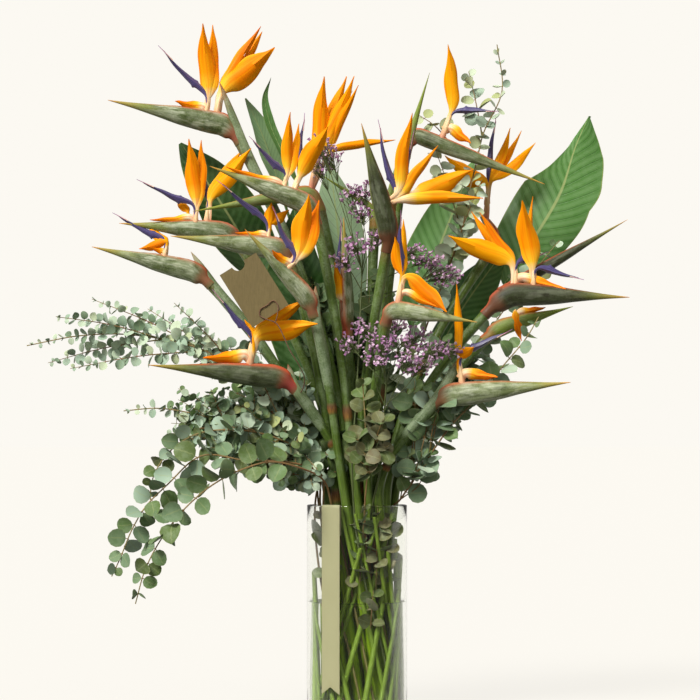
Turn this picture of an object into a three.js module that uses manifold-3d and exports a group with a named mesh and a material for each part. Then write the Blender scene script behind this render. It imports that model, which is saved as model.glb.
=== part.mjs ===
// A hand-tied arrangement of bird of paradise flowers with big leaves, eucalyptus and sea lavender,
// standing in water in a clear glass cylinder vase, with a ribbon over the rim and a tag on a twine.
// Units are millimetres and +Z is up. The origin is the middle of the vase's foot, and -Y is the front.
import * as THREE from "three";
import { mergeVertices } from "three/addons/utils/BufferGeometryUtils.js";
import Module from "manifold-3d";

const wasm = await Module();
wasm.setup();

// Vase and water
const VASE_RADIUS = 60;
const VASE_HEIGHT = 250;
const VASE_WALL = 3;
const VASE_FLOOR = 10;
const VASE_SEGMENTS = 26;
const INNER_CORNER = 4;
const WATER_TOP = 134;
const GAP = 0.35;

// Every stem is straight inside the vase. Between the rim and its cut end it turns round the axis.
const CUT_END = 16;
const STEM_TURN = THREE.MathUtils.degToRad(60);
const STALK_RADIUS = 5.2;
const NECK_RADIUS = 6.4;
const STALK_SIDES = 5;
const STEM_STEPS = 5;
const BEND_SHARE = 0.35;
const ARRIVAL_LEAN = 1.7;

// Flower heads
const SPATHE_DEPTH = 25;
const SPATHE_BREADTH = 17;
const SECOND_DEPTH = 18;
const SPATHE_SIDES = 6;
const BLADE_THICKNESS = 1.1;
const FLORET_BASE_RADIUS = 6.5;
const BLADE_SEAT = 1;
const ARROW_BARB = 13;

// Leaves, sprays and trimmings
const LEAF_THICKNESS = 1.2;
const RIB_THICKNESS = 3;
const PETIOLE_RADIUS = 2.6;
const PETIOLE_SIDES = 4;
const TWIG_RADIUS = 1.5;
const TWIG_SIDES = 4;
const LEAF_ROOT = 1.2;
const ROUND_LEAF_THICKNESS = 0.9;
const PAIR_SPACING = 84;
const LEAF_GROWTH = 1.25;
const LAVENDER_HEAD_RADIUS = 6.5;
const LAVENDER_TRIES = 40;
const RIBBON_WIDTH = 25;
const RIBBON_THICKNESS = 0.8;
const RIBBON_BEARING = THREE.MathUtils.degToRad(-121.6);
const RIBBON_TAIL = 28;
const RIBBON_NOTCH = 46;
const RIBBON_HOOK = 215;
const TAG_WIDTH = 50;
const TAG_LENGTH = 72;
const TAG_THICKNESS = 1.2;
const TAG_THUMB_RADIUS = 8;
const TAG_CENTRE = [-120, -95, 502];
const TAG_TILT = THREE.MathUtils.degToRad(-57.9);
const TWINE_RADIUS = 0.7;
const TWINE_STEPS = 36;

const UP = new THREE.Vector3(0, 0, 1);
const BACK = new THREE.Vector3(0, 1, 0);

// Each flower: waist is where its stem passes the rim, neck is where the stalk meets the spathe.
// A sepal is the place of its tip, its breadth and its turn in degrees about its own length.
const FLOWERS = {
  top_left: {
    waist: [-10, 8], neck: [-147, 28, 708], tip: [-301, 10, 738], sheath: [-167, 22, 762],
    florets: [
      { hub: [-179, 20, 743], sepals: [[-187, 10, 831, 18, 10], [-175, 26, 832, 17, -15]],
        arrow: [-241, 12, 802] },
      { hub: [-165, 24, 750], sepals: [[-117, 30, 831, 12, 40], [-116, 46, 827, 16, 20],
        [-100, 14, 803, 26, 0]], arrow: [-131, 34, 806] },
    ],
    low: [-220, 12, 737, 14],
  },
  upper_left: {
    waist: [1, -33], neck: [-49, -35, 605], tip: [-174, -55, 651],
    florets: [
      { hub: [-82, -42, 641], sepals: [[-79, -50, 716, 13, 20], [-69, -34, 704, 12, -20]],
        arrow: [-123, -52, 682] },
      { hub: [-68, -38, 641], sepals: [[-34, -50, 699, 20, 15]], arrow: [-63, -34, 709] },
    ],
    low: [-155, -58, 650, 10],
  },
  upper_mid: {
    waist: [3, 4], neck: [-44, 26, 631], tip: [-196, -26, 600],
    florets: [
      { hub: [-47, 20, 674], sepals: [[-40, 12, 767, 17, 10], [-13, 32, 770, 15, 10],
        [-3, 16, 768, 16, -10]], arrow: [-10, 24, 743] },
      { hub: [-35, 26, 677], sepals: [[2, 8, 756, 11, 35], [47, 36, 693, 10, 20]] },
    ],
  },
  upper_mid_bud: { waist: [8, 18], neck: [26, 55, 607], tip: [-46, 50, 653], florets: [] },
  left: {
    waist: [-22, 2], neck: [-147, 15, 578], tip: [-286, 0, 588],
    florets: [
      { hub: [-193, 6, 609], sepals: [[-202, 0, 690, 17, 5], [-188, 14, 690, 14, -15]],
        arrow: [-257, -4, 637] },
      { hub: [-180, 14, 617], sepals: [[-138, 26, 681, 12, 25], [-128, 10, 680, 18, -10]],
        arrow: [-185, 22, 652] },
      { hub: [-204, 14, 603], sepals: [[-219, 20, 624, 10, 20]] },
    ],
    low: [-249, -2, 592, 9],
  },
  far_left: {
    waist: [-34, -6], neck: [-185, 0, 528], tip: [-318, -10, 559], sheath: [-200, 4, 554],
    florets: [
      { hub: [-227, -6, 566], sepals: [[-261, -12, 556, 10, 0], [-252, 4, 585, 12, 30]],
        arrow: [-287, 0, 597] },
    ],
    low: [-248, -8, 559, 8],
  },
  left_mid: {
    waist: [-24, -16], neck: [-80, -25, 555], tip: [-222, -35, 570],
    florets: [
      { hub: [-104, -28, 585], sepals: [[-102, -32, 610, 12, 0], [-81, -20, 602, 12, 0]],
        arrow: [-160, -38, 631] },
    ],
    low: [-145, -34, 574, 9],
  },
  centre_left: {
    waist: [-13, -38], neck: [-53, -78, 489], tip: [-131, -100, 573], sheath: [-49, -76, 508],
    florets: [
      { hub: [-70, -92, 537], sepals: [[-56, -98, 614, 22, 5], [-45, -84, 608, 19, -25]],
        arrow: [-96, -100, 593] },
    ],
    low: [-99, -102, 548, 12],
  },
  lower_left: {
    waist: [-9, -23], neck: [-79, -58, 401], tip: [-244, -84, 415], sheath: [-82, -50, 417],
    florets: [
      { hub: [-122, -74, 447], sepals: [[-60, -70, 494, 18, 10], [-46, -86, 463, 22, 0],
        [-132, -66, 469, 9, 0]], arrow: [-165, -80, 498] },
    ],
    low: [-180, -84, 423, 16],
  },
  centre: {
    waist: [4, -17], neck: [40, -62, 566], tip: [5, -72, 700],
    florets: [
      { hub: [47, -62, 610], sepals: [[65, -66, 713, 16, 25], [96, -50, 676, 12, 20],
        [148, -74, 611, 14, 10]], arrow: [27, -66, 695] },
      { hub: [52, -54, 615], sepals: [], arrow: [66, -50, 686] },
    ],
  },
  centre_back: {
    waist: [20, -10], neck: [39, -22, 608], tip: [87, -22, 767],
    florets: [{ hub: [66, -12, 620], sepals: [[139, -8, 652, 22, 0]] }],
  },
  top_right: {
    waist: [19, 6], neck: [56, 10, 702], tip: [225, -12, 634],
    florets: [
      { hub: [115, 4, 723], sepals: [[110, 0, 804, 18, 0]], arrow: [165, -2, 723] },
    ],
    low: [137, -8, 684, 14],
  },
  right_back: {
    waist: [33, 4], neck: [175, 50, 569], tip: [144, 120, 627],
    florets: [
      { hub: [161, 48, 643], sepals: [[188, 50, 709, 12, 0], [202, 62, 707, 9, 20],
        [218, 42, 690, 14, 0], [107, 38, 674, 17, 0], [113, 54, 651, 16, 10]],
        arrow: [170, 56, 718] },
    ],
  },
  right: {
    waist: [35, -15], neck: [170, -30, 502], tip: [322, -52, 496], second: [325, -6, 592],
    florets: [
      { hub: [189, -34, 537], sepals: [[146, -28, 599, 12, 20], [137, -12, 601, 14, 10],
        [108, -46, 569, 22, 0]], arrow: [225, -14, 551] },
      { hub: [210, -38, 532], sepals: [[195, -48, 611, 22, 0], [210, -24, 618, 9, 30]],
        arrow: [263, -40, 519] },
    ],
    low: [247, -46, 506, 14],
  },
  right_low: {
    waist: [44, 0], neck: [164, 12, 461], tip: [260, 5, 488],
    florets: [{ hub: [190, 6, 486], sepals: [[197, -6, 446, 9, 0]] }],
    low: [227, 4, 487, 10],
  },
  centre_low: {
    waist: [14, -27], neck: [32, -88, 482], tip: [139, -108, 464],
    florets: [
      { hub: [53, -92, 520], sepals: [[44, -100, 564, 14, 20], [54, -82, 586, 11, 10],
        [104, -112, 476, 17, 10]], arrow: [51, -100, 587] },
    ],
    low: [96, -104, 481, 9],
  },
  lower_right: {
    waist: [26, -34], neck: [94, -55, 379], tip: [250, -75, 395], sheath: [124, -50, 427],
    florets: [
      { hub: [120, -60, 424], sepals: [[117, -60, 511, 9, 0], [137, -68, 437, 11, 0]],
        arrow: [176, -66, 454] },
    ],
    low: [165, -70, 401, 14],
  },
  centre_small: {
    waist: [-6, -7], neck: [-12, -15, 469], tip: [-16, -22, 593],
    florets: [{ hub: [-17, -24, 490], sepals: [[-27, -32, 539, 10, 0]], arrow: [-19, -30, 584] }],
  },
};

// Big leaves: the spine from the petiole to the tip, and the greatest breadth.
const LEAVES = {
  leaf_pale_left: { waist: [-28, 22], spine: [[-88, 60, 616], [-116, 58, 701], [-136, 52, 746]],
    breadth: 34, turn: 35 },
  leaf_thin_left: { waist: [-16, 26], spine: [[-79, 50, 651], [-94, 48, 694], [-105, 44, 770]],
    breadth: 20, turn: 30 },
  leaf_dark_left: { waist: [-38, 24], spine: [[-109, 62, 511], [-144, 70, 580], [-216, 60, 692]],
    breadth: 84, turn: 20 },
  leaf_dark_mid: { waist: [-26, 34], spine: [[-47, 36, 376], [-80, 46, 470], [-120, 40, 560]],
    breadth: 80, turn: -10 },
  leaf_centre: { waist: [0, 30], spine: [[-15, 60, 462], [-21, 85, 560], [-33, 85, 671]],
    breadth: 70, turn: 25 },
  leaf_centre_right: { waist: [12, 34], spine: [[67, 66, 462], [100, 92, 560], [145, 88, 673]],
    breadth: 76, turn: -15 },
  leaf_low_right: { waist: [24, 32], spine: [[89, 50, 419], [130, 70, 490], [186, 72, 567]],
    breadth: 60, turn: 20 },
  leaf_right: { waist: [36, 26], spine: [[182, 76, 518], [236, 82, 604], [285, 60, 725]],
    breadth: 92, turn: -12 },
};

// Eucalyptus branches: the main stem from above the rim to its tip, twigs from a point on it, and
// the breadth of the leaves at its root and at its tip.
const BRANCHES = {
  eucalyptus_far_left: {
    waist: [-44, -14], leaf: [14, 9],
    main: [[-46, -30, 292], [-85, -35, 339], [-134, -22, 401], [-182, -15, 434], [-232, -10, 448],
      [-283, -15, 454], [-329, -20, 452], [-394, -20, 440]],
    twigs: [[[-182, -15, 434], [-319, 5, 497]], [[-232, -10, 448], [-358, -35, 474]],
      [[-232, -10, 448], [-371, 0, 420]], [[-182, -15, 434], [-340, -40, 412]],
      [[-134, -22, 401], [-253, 20, 486]], [[-134, -22, 401], [-217, -40, 490]]],
  },
  eucalyptus_left: {
    waist: [-46, 2], leaf: [15, 9],
    main: [[-53, 3, 292], [-82, -10, 316], [-126, -28, 332], [-150, -33, 342], [-178, -35, 355],
      [-205, -35, 361], [-235, -35, 365], [-277, -35, 362]],
    twigs: [[[-126, -28, 332], [-214, -10, 389]], [[-150, -33, 342], [-226, -55, 332]]],
  },
  eucalyptus_droop_far: {
    waist: [-40, -28], leaf: [17, 24],
    main: [[-42, -42, 286], [-85, -62, 302], [-128, -72, 303], [-182, -78, 309], [-221, -80, 276],
      [-249, -80, 247], [-262, -78, 225], [-278, -75, 187], [-287, -74, 168]],
    twigs: [],
  },
  eucalyptus_droop_near: {
    waist: [-30, -40], leaf: [20, 22],
    main: [[-38, -54, 278], [-67, -78, 295], [-102, -90, 302], [-132, -96, 294], [-164, -98, 278],
      [-193, -98, 255], [-226, -95, 215], [-246, -92, 178], [-258, -88, 137]],
    twigs: [],
  },
  eucalyptus_arch_left: {
    waist: [-50, -12], leaf: [16, 17],
    main: [[-47, -20, 297], [-91, -42, 328], [-138, -54, 339], [-195, -60, 332], [-228, -64, 305],
      [-241, -64, 279], [-243, -62, 257]],
    twigs: [],
  },
  eucalyptus_cluster_left: {
    waist: [-36, 10], leaf: [15, 14],
    main: [[-44, 13, 294], [-68, 8, 328], [-92, -5, 358], [-128, -10, 402]],
    twigs: [[[-68, 8, 328], [-169, -20, 373]], [[-68, 8, 328], [-69, 20, 410]],
      [[-68, 8, 328], [-160, 30, 346]], [[-44, 13, 294], [-130, 10, 300]]],
  },
  eucalyptus_right: {
    waist: [44, -22], leaf: [19, 23],
    main: [[51, -40, 257], [66, -42, 280], [85, -44, 308], [110, -44, 343], [144, -40, 379],
      [173, -38, 415], [204, -34, 453], [216, -32, 474]],
    twigs: [],
  },
  eucalyptus_top_right: {
    waist: [28, 18], leaf: [15, 9],
    main: [[34, 22, 303], [58, 26, 376], [83, 34, 461], [108, 35, 528], [127, 24, 580],
      [135, 18, 623], [146, 18, 669], [152, 20, 695], [176, 20, 751], [170, 20, 807]],
    twigs: [[[152, 20, 695], [136, 30, 776]], [[135, 18, 623], [102, 32, 714]],
      [[146, 18, 669], [186, 5, 738]]],
  },
  eucalyptus_right_mid: {
    waist: [42, 14], leaf: [16, 12],
    main: [[58, 20, 291], [88, 24, 352], [118, 26, 400], [145, 28, 438], [190, 30, 474]],
    twigs: [[[145, 28, 438], [245, 20, 569]], [[118, 26, 400], [99, 10, 453]],
      [[118, 26, 400], [171, 10, 381]]],
  },
  eucalyptus_inside: {
    waist: [9, -47], leaf: [17, 19],
    main: [[12, -56, 292], [10, -68, 340], [6, -76, 400]],
    twigs: [[[12, -56, 292], [30, -100, 352]]],
  },
};

// Sea lavender: a stem that carries small heads on fine stalks.
const LAVENDER = {
  lavender_low: {
    waist: [18, -44], main: [[27, -60, 292], [31, -70, 351], [34, -78, 392]],
    heads: [[-8, -60, 439], [9, -66, 457], [27, -90, 435], [50, -80, 439], [69, -70, 447],
      [88, -76, 431], [104, -66, 433], [46, -62, 462], [73, -86, 412], [20, -92, 418], [59, -94, 418]],
  },
  lavender_high: {
    waist: [-4, -50], main: [[-6, -52, 292], [-1, -48, 375], [3, -40, 458], [6, -30, 530]],
    heads: [[-42, 0, 679], [-31, 4, 667], [-46, 2, 655], [-6, -10, 619], [5, -14, 599],
      [11, -6, 625], [0, -40, 555], [-14, -44, 537], [82, -40, 539], [95, -36, 529], [108, -30, 522],
      [67, -44, 548], [25, -34, 565]],
  },
};

// The twine: a loop in front of the tag, then down to a stalk.
const TWINE = [
  [-95, -99.2, 465], [-92.6, -98, 475], [-92.8, -97.3, 485], [-97.3, -97.3, 489.5], [-105.4, -97.3, 484],
  [-113, -97.3, 479], [-113.7, -97.3, 473], [-106, -97.3, 468], [-96, -97.3, 464.5], [-85, -96.5, 446.5],
  [-80, -95, 435], [-67, -86, 413], [-62, -76, 401], [-63, -66, 390], [-67, -56.6, 382],
];

const COLOURS = {
  glass: 0xeef2ee,
  water: 0xdfe8d8,
  ribbon: 0xc1bf92,
  tag: 0x796a47,
  twine: 0x9a6a43,
  stalk: 0x58624a,
  orange: 0xef7d01,
  leaf: 0x6e8c5e,
  eucalyptus: 0x7f9486,
  lavender: 0x9a83b0,
};

const at = (place) => new THREE.Vector3(place[0], place[1], place[2]);

const arrangement = new THREE.Group();
const placed = [];

// A closed mesh as a solid that can be joined and cut.
function solidOf(geometry) {
  const bare = new THREE.BufferGeometry();
  bare.setAttribute("position", geometry.getAttribute("position"));
  bare.setIndex(geometry.getIndex());
  const merged = mergeVertices(bare, 1e-3);
  const index = merged.getIndex().array;
  const triangles = [];
  for (let i = 0; i < index.length; i += 3) {
    const [a, b, c] = [index[i], index[i + 1], index[i + 2]];
    if (a !== b && b !== c && c !== a) triangles.push(a, b, c);
  }
  return new wasm.Manifold(new wasm.Mesh({
    numProp: 3,
    vertProperties: merged.getAttribute("position").array,
    triVerts: new Uint32Array(triangles),
  }));
}

function geometryOf(solid) {
  const mesh = solid.getMesh();
  const geometry = new THREE.BufferGeometry();
  geometry.setAttribute("position", new THREE.BufferAttribute(mesh.vertProperties, 3));
  geometry.setIndex(new THREE.BufferAttribute(mesh.triVerts, 1));
  geometry.computeVertexNormals();
  return geometry;
}

function joined(solids) {
  return solids.reduce((whole, next) => whole.add(next));
}

function largest(solid) {
  return solid.decompose().sort((a, b) => b.volume() - a.volume())[0];
}

// Rings of points, each anticlockwise as seen from the far end, closed with a fan at each end.
function loft(rings) {
  const sides = rings[0].length;
  const position = rings.flat().flatMap((p) => [p.x, p.y, p.z]);
  const index = [];
  for (let r = 0; r < rings.length - 1; r++) {
    for (let s = 0; s < sides; s++) {
      const a = r * sides + s;
      const b = r * sides + ((s + 1) % sides);
      index.push(a, b, b + sides, a, b + sides, a + sides);
    }
  }
  const last = (rings.length - 1) * sides;
  for (let s = 1; s < sides - 1; s++) {
    index.push(0, s + 1, s, last, last + s, last + s + 1);
  }
  const geometry = new THREE.BufferGeometry();
  geometry.setAttribute("position", new THREE.Float32BufferAttribute(position, 3));
  geometry.setIndex(index);
  return solidOf(geometry);
}

// The way along a path at each of its points, the side and the lift square to it.
function frames(points, up) {
  return points.map((point, i) => {
    const before = points[Math.max(i - 1, 0)];
    const after = points[Math.min(i + 1, points.length - 1)];
    const along = after.clone().sub(before).normalize();
    const side = up.clone().cross(along).normalize();
    const lift = along.clone().cross(side);
    return { point, along, side, lift };
  });
}

function ring(frame, halfSide, halfLift, sides) {
  const points = [];
  for (let s = 0; s < sides; s++) {
    const angle = ((s + 0.5) / sides) * 2 * Math.PI;
    points.push(frame.point.clone()
      .addScaledVector(frame.side, halfSide * Math.cos(angle))
      .addScaledVector(frame.lift, halfLift * Math.sin(angle)));
  }
  return points;
}

// A round rod through the points, with a radius at its start and its end.
function rod(points, startRadius, endRadius, sides) {
  return loft(frames(points, BACK).map((frame, i) => {
    const radius = THREE.MathUtils.lerp(startRadius, endRadius, i / (points.length - 1));
    return ring(frame, radius, radius, sides);
  }));
}

// A closed blade about rows of centre points. Both faces are split into triangles alike.
function blade(rows, thicknessOf) {
  const high = rows.length;
  const wide = rows[0].length;
  const top = [];
  const bottom = [];
  for (let i = 0; i < high; i++) {
    for (let j = 0; j < wide; j++) {
      const along = rows[Math.min(i + 1, high - 1)][j].clone().sub(rows[Math.max(i - 1, 0)][j]);
      const across = rows[i][Math.min(j + 1, wide - 1)].clone().sub(rows[i][Math.max(j - 1, 0)]);
      const normal = across.cross(along).normalize();
      const half = thicknessOf(i / (high - 1), j / (wide - 1)) / 2;
      top.push(rows[i][j].clone().addScaledVector(normal, half));
      bottom.push(rows[i][j].clone().addScaledVector(normal, -half));
    }
  }
  const position = [...top, ...bottom].flatMap((p) => [p.x, p.y, p.z]);
  const count = high * wide;
  const index = [];
  for (let i = 0; i < high - 1; i++) {
    for (let j = 0; j < wide - 1; j++) {
      const a = i * wide + j;
      const b = a + 1;
      const c = a + wide;
      const d = c + 1;
      index.push(a, b, d, a, d, c);
      index.push(a + count, d + count, b + count, a + count, c + count, d + count);
    }
  }
  const edge = [];
  for (let j = 0; j < wide - 1; j++) edge.push(j);
  for (let i = 0; i < high - 1; i++) edge.push(i * wide + wide - 1);
  for (let j = wide - 1; j > 0; j--) edge.push((high - 1) * wide + j);
  for (let i = high - 1; i > 0; i--) edge.push(i * wide);
  edge.forEach((a, k) => {
    const b = edge[(k + 1) % edge.length];
    index.push(a, a + count, b + count, a, b + count, b);
  });
  const geometry = new THREE.BufferGeometry();
  geometry.setAttribute("position", new THREE.Float32BufferAttribute(position, 3));
  geometry.setIndex(index);
  return solidOf(geometry);
}

// The straight stretch of a stem, from its cut end to the rim.
function ruling(waist) {
  const rim = new THREE.Vector3(waist[0], waist[1], VASE_HEIGHT);
  const foot = rim.clone().applyAxisAngle(UP, STEM_TURN).setZ(CUT_END);
  return { foot, rim };
}

// Points of a stem: straight in the vase, then curving out to its end.
function stemPoints(waist, end, arrival) {
  const { foot, rim } = ruling(waist);
  const rise = rim.clone().sub(foot).normalize();
  const reach = rim.distanceTo(end);
  const curve = new THREE.CubicBezierCurve3(
    rim,
    rim.clone().addScaledVector(rise, reach * BEND_SHARE),
    end.clone().addScaledVector(arrival, -reach * BEND_SHARE),
    end,
  );
  return [foot, ...curve.getPoints(STEM_STEPS)];
}

// The stem's way into a flower head leans further out than the line from the rim does.
function arrivalAt(waist, end) {
  const lean = new THREE.Vector3(end.x - waist[0], end.y - waist[1], 0).multiplyScalar(ARRIVAL_LEAN);
  return lean.setZ(end.z - VASE_HEIGHT).normalize();
}

function overlapBox(a, b) {
  return [0, 1, 2].every((k) => a.min[k] <= b.max[k] && b.min[k] <= a.max[k]);
}

function clear(solid, others = placed) {
  const box = solid.boundingBox();
  return others.every((other) => !overlapBox(box, other.box) || solid.intersect(other.solid).isEmpty());
}

function place(name, solid, colour, finish = {}) {
  const material = new THREE.MeshStandardMaterial({ color: colour, roughness: 0.6, metalness: 0, ...finish });
  const mesh = new THREE.Mesh(geometryOf(solid), material);
  mesh.name = name;
  arrangement.add(mesh);
  placed.push({ name, solid, box: solid.boundingBox() });
}

function lathe(profile) {
  const points = profile.map(([r, z]) => new THREE.Vector2(r, z));
  const geometry = new THREE.LatheGeometry(points, VASE_SEGMENTS);
  geometry.rotateX(Math.PI / 2);
  return solidOf(geometry);
}

function vase() {
  const inner = VASE_RADIUS - VASE_WALL;
  return lathe([
    [0, 0], [VASE_RADIUS - 1.5, 0], [VASE_RADIUS, 1.5], [VASE_RADIUS, VASE_HEIGHT - 1],
    [VASE_RADIUS - VASE_WALL / 2, VASE_HEIGHT], [inner, VASE_HEIGHT - 1],
    [inner, VASE_FLOOR + INNER_CORNER], [inner - INNER_CORNER, VASE_FLOOR], [0, VASE_FLOOR],
  ]);
}

// The water, with a plain hole for each stem.
function water(stems) {
  const inner = VASE_RADIUS - VASE_WALL - GAP;
  const floor = VASE_FLOOR + GAP;
  const body = lathe([
    [0, floor], [inner - INNER_CORNER, floor], [inner, floor + INNER_CORNER], [inner, WATER_TOP], [0, WATER_TOP],
  ]);
  const holes = stems.map(({ waist, radius, sides }) => {
    const { foot, rim } = ruling(waist);
    const way = rim.clone().sub(foot).normalize();
    const points = [foot.clone().addScaledVector(way, -2 * GAP), rim];
    const room = radius + GAP / Math.cos(Math.PI / sides);
    return rod(points, room, room, sides);
  });
  return body.subtract(joined(holes));
}

// A spathe is a horn: round at the neck, deepest a fifth of the way along, drawn out to the tip.
function spatheRings(neck, tip, depth, pad) {
  const way = tip.clone().sub(neck);
  const across = way.clone().cross(BACK).normalize();
  const sag = across.z > 0 ? -1 : 1;
  const fractions = [-0.06, 0.03, 0.18, 0.42, 0.74, 1];
  const fullness = [0.28, 0.62, 1, 0.84, 0.38, 0.06];
  const points = fractions.map((t) => neck.clone().addScaledVector(way, t)
    .addScaledVector(across, sag * 0.03 * way.length() * Math.sin(Math.PI * Math.max(t, 0))));
  return frames(points, BACK).map((frame, i) => {
    const breadth = SPATHE_BREADTH * (depth / SPATHE_DEPTH) * fullness[i] / 2 + pad;
    const deep = depth * fullness[i] / 2 + pad;
    const turned = { ...frame, side: frame.lift, lift: frame.side.clone().negate() };
    return ring(turned, breadth, deep, SPATHE_SIDES);
  });
}

function spatheDepth(flower) {
  const length = at(flower.neck).distanceTo(at(flower.tip));
  return Math.min(SPATHE_DEPTH, length * 0.16 + 3);
}

function stalkAndSpathe(flower, pad = 0) {
  const neck = at(flower.neck);
  const tip = at(flower.tip);
  const end = neck.clone().lerp(tip, 0.04);
  const points = stemPoints(flower.waist, end, arrivalAt(flower.waist, end));
  const pieces = [rod(points, STALK_RADIUS + pad, NECK_RADIUS + pad, STALK_SIDES)];
  pieces.push(loft(spatheRings(neck, tip, spatheDepth(flower), pad)));
  if (flower.second) {
    pieces.push(loft(spatheRings(neck.clone().lerp(tip, 0.12), at(flower.second), SECOND_DEPTH, pad)));
  }
  if (flower.sheath) {
    const root = points[points.length - 2];
    const leafTip = at(flower.sheath);
    pieces.push(rod([root, root.clone().lerp(leafTip, 0.45), leafTip], NECK_RADIUS + pad, 1 + pad, 5));
  }
  return joined(pieces);
}

// A lance-shaped blade from root to tip, bowed and turned about its length.
function lance(root, tip, breadths, turn, thickness) {
  const steps = breadths.length - 1;
  const bow = 0.05 * root.distanceTo(tip);
  const along = tip.clone().sub(root).normalize();
  const start = root.clone().addScaledVector(along, BLADE_SEAT);
  const points = breadths.map((_, i) => start.clone().lerp(tip, i / steps));
  return loft(frames(points, BACK).map((frame, i) => {
    const angle = THREE.MathUtils.degToRad(turn);
    const side = frame.side.applyAxisAngle(along, angle).multiplyScalar(breadths[i] / 2);
    const lift = frame.lift.applyAxisAngle(along, angle);
    const centre = frame.point.addScaledVector(lift, bow * Math.sin(Math.PI * i / steps));
    lift.multiplyScalar(thickness / 2);
    return [[1, 1], [-1, 1], [-1, -1], [1, -1]].map(([u, v]) =>
      centre.clone().addScaledVector(side, u).addScaledVector(lift, v));
  }));
}

function sepal(hub, spot, pad = 0) {
  const [x, y, z, breadth, turn] = spot;
  const breadths = [0.4, 1, 0.8, 0.1].map((share) => share * breadth + 2 * pad);
  return lance(hub, new THREE.Vector3(x, y, z), breadths, turn, BLADE_THICKNESS + 2 * pad);
}

// The blue petals form an arrow: a narrow shaft, two barbs and a long point.
function arrowHead(hub, tip, pad = 0) {
  const breadths = [0.3, 1, 0.5, 0.1].map((share) => share * ARROW_BARB + 2 * pad);
  return lance(hub, tip, breadths, 15, 2 * BLADE_THICKNESS + 2 * pad);
}

// The nearest point of a flower's spathe to a place above it.
function onSpathe(flower, point) {
  const neck = at(flower.neck);
  const tip = at(flower.tip);
  const line = new THREE.Line3(neck, tip);
  const share = THREE.MathUtils.clamp(line.closestPointToPointParameter(point, true), 0.08, 0.5);
  return neck.lerp(tip, share);
}

// Each blade swings back or forward until it passes clear of what stands near it.
const SWINGS = [0, 9, -9, 18, -18, 27, -27, 38, -38];

function swungClear(make, others) {
  for (const swing of SWINGS) {
    const padded = make(new THREE.Vector3(0, swing, 0), 0.25);
    if (clear(padded, others)) return make(new THREE.Vector3(0, swing, 0), 0);
  }
  return null;
}

function florets(flower, own) {
  const others = placed.filter((other) => other.name !== own);
  const pieces = [];
  const keep = (solid) => solid && pieces.push(solid);
  for (const { hub, sepals, arrow } of flower.florets) {
    const centre = at(hub);
    const root = onSpathe(flower, centre);
    const head = centre.clone().addScaledVector(centre.clone().sub(root).normalize(), FLORET_BASE_RADIUS);
    pieces.push(rod([root, head], FLORET_BASE_RADIUS, FLORET_BASE_RADIUS, 4));
    for (const tip of sepals) {
      keep(swungClear((swing, pad) => {
        const moved = [...tip];
        moved[1] += swing.y;
        return sepal(centre, moved, pad);
      }, others));
    }
    if (arrow) {
      keep(swungClear((swing, pad) => arrowHead(centre, at(arrow).add(swing), pad), others));
    }
  }
  if (flower.low) {
    const hub = at(flower.florets[0].hub);
    const root = onSpathe(flower, hub).lerp(hub, 0.7);
    const tip = at(flower.low);
    const breadth = flower.low[3];
    keep(swungClear((swing, pad) => lance(root, tip.clone().add(swing),
      [0.5, 1, 0.8, 0.12].map((share) => share * breadth), 80, BLADE_THICKNESS + 2 * pad), others));
  }
  return largest(joined(pieces).subtract(stalkAndSpathe(flower, GAP)));
}

// A big leaf: petiole, a blade that widens from it, a thick midrib and side ribs as a fine corrugation.
function bigLeaf(leaf) {
  const spine = leaf.spine.map(at);
  const curve = new THREE.CatmullRomCurve3(spine);
  const steps = 7;
  const points = curve.getPoints(steps);
  const start = points[1].clone();
  const arrival = curve.getTangent(0);
  const petiole = rod(stemPoints(leaf.waist, start, arrival), PETIOLE_RADIUS, 1.6, PETIOLE_SIDES);
  const rows = frames(points, BACK).map((frame, i) => {
    const t = i / steps;
    const half = leaf.breadth / 2 * Math.max(Math.sin(Math.PI * Math.pow(t, 0.8)), 0.04);
    const side = frame.side.clone().applyAxisAngle(frame.along, THREE.MathUtils.degToRad(leaf.turn));
    const lift = frame.lift.clone().applyAxisAngle(frame.along, THREE.MathUtils.degToRad(leaf.turn));
    const rib = i % 2 ? 1 : 0;
    const columns = leaf.breadth > 40 ? [-1, -0.5, 0, 0.5, 1] : [-1, 0, 1];
    return columns.map((v) => frame.point.clone()
      .addScaledVector(side, half * v)
      .addScaledVector(lift, -0.22 * half * v * v + rib * Math.abs(v)));
  });
  const body = blade(rows, (t, v) => (v === 0.5 ? RIB_THICKNESS : LEAF_THICKNESS));
  return joined([petiole, body]);
}

// A plain generator of repeatable numbers from 0 to 1.
function dice(seed) {
  let state = seed;
  return () => {
    state = (state * 16807) % 2147483647;
    return state / 2147483647;
  };
}

// A path of straight stretches through the points.
function straightPath(points) {
  const path = new THREE.CurvePath();
  points.slice(1).forEach((point, i) => path.add(new THREE.LineCurve3(points[i], point)));
  return path;
}

// The outline of a round leaf, in shares of its breadth: forward along the stem and out from it.
const LEAF_OUTLINE = [[-0.45, 0.32], [-0.32, 0.86], [0.36, 0.92], [0.48, 0.36]];

// One round leaf at a point of a stem: its outline, and the normal of its blade.
function leafAt(frame, sign, tilt, breadth) {
  const way = frame.side.clone().multiplyScalar(sign).applyAxisAngle(frame.along, tilt);
  const normal = frame.lift.clone().applyAxisAngle(frame.along, tilt);
  const outline = LEAF_OUTLINE.map(([forward, out]) => frame.point.clone()
    .addScaledVector(frame.along, forward * breadth)
    .addScaledVector(way, out * breadth));
  return { outline, normal };
}

// The same leaf as a solid of its own, a little larger, to test whether it stands clear.
function leafProbe(frame, { outline, normal }) {
  const corners = [frame.point, ...outline];
  const levels = [-1.2, 1.2].map((level) => corners.map((p) => p.clone().addScaledVector(normal, level)));
  const solid = loft(levels);
  return solid.volume() > 0 ? solid : loft(levels.reverse());
}

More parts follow.
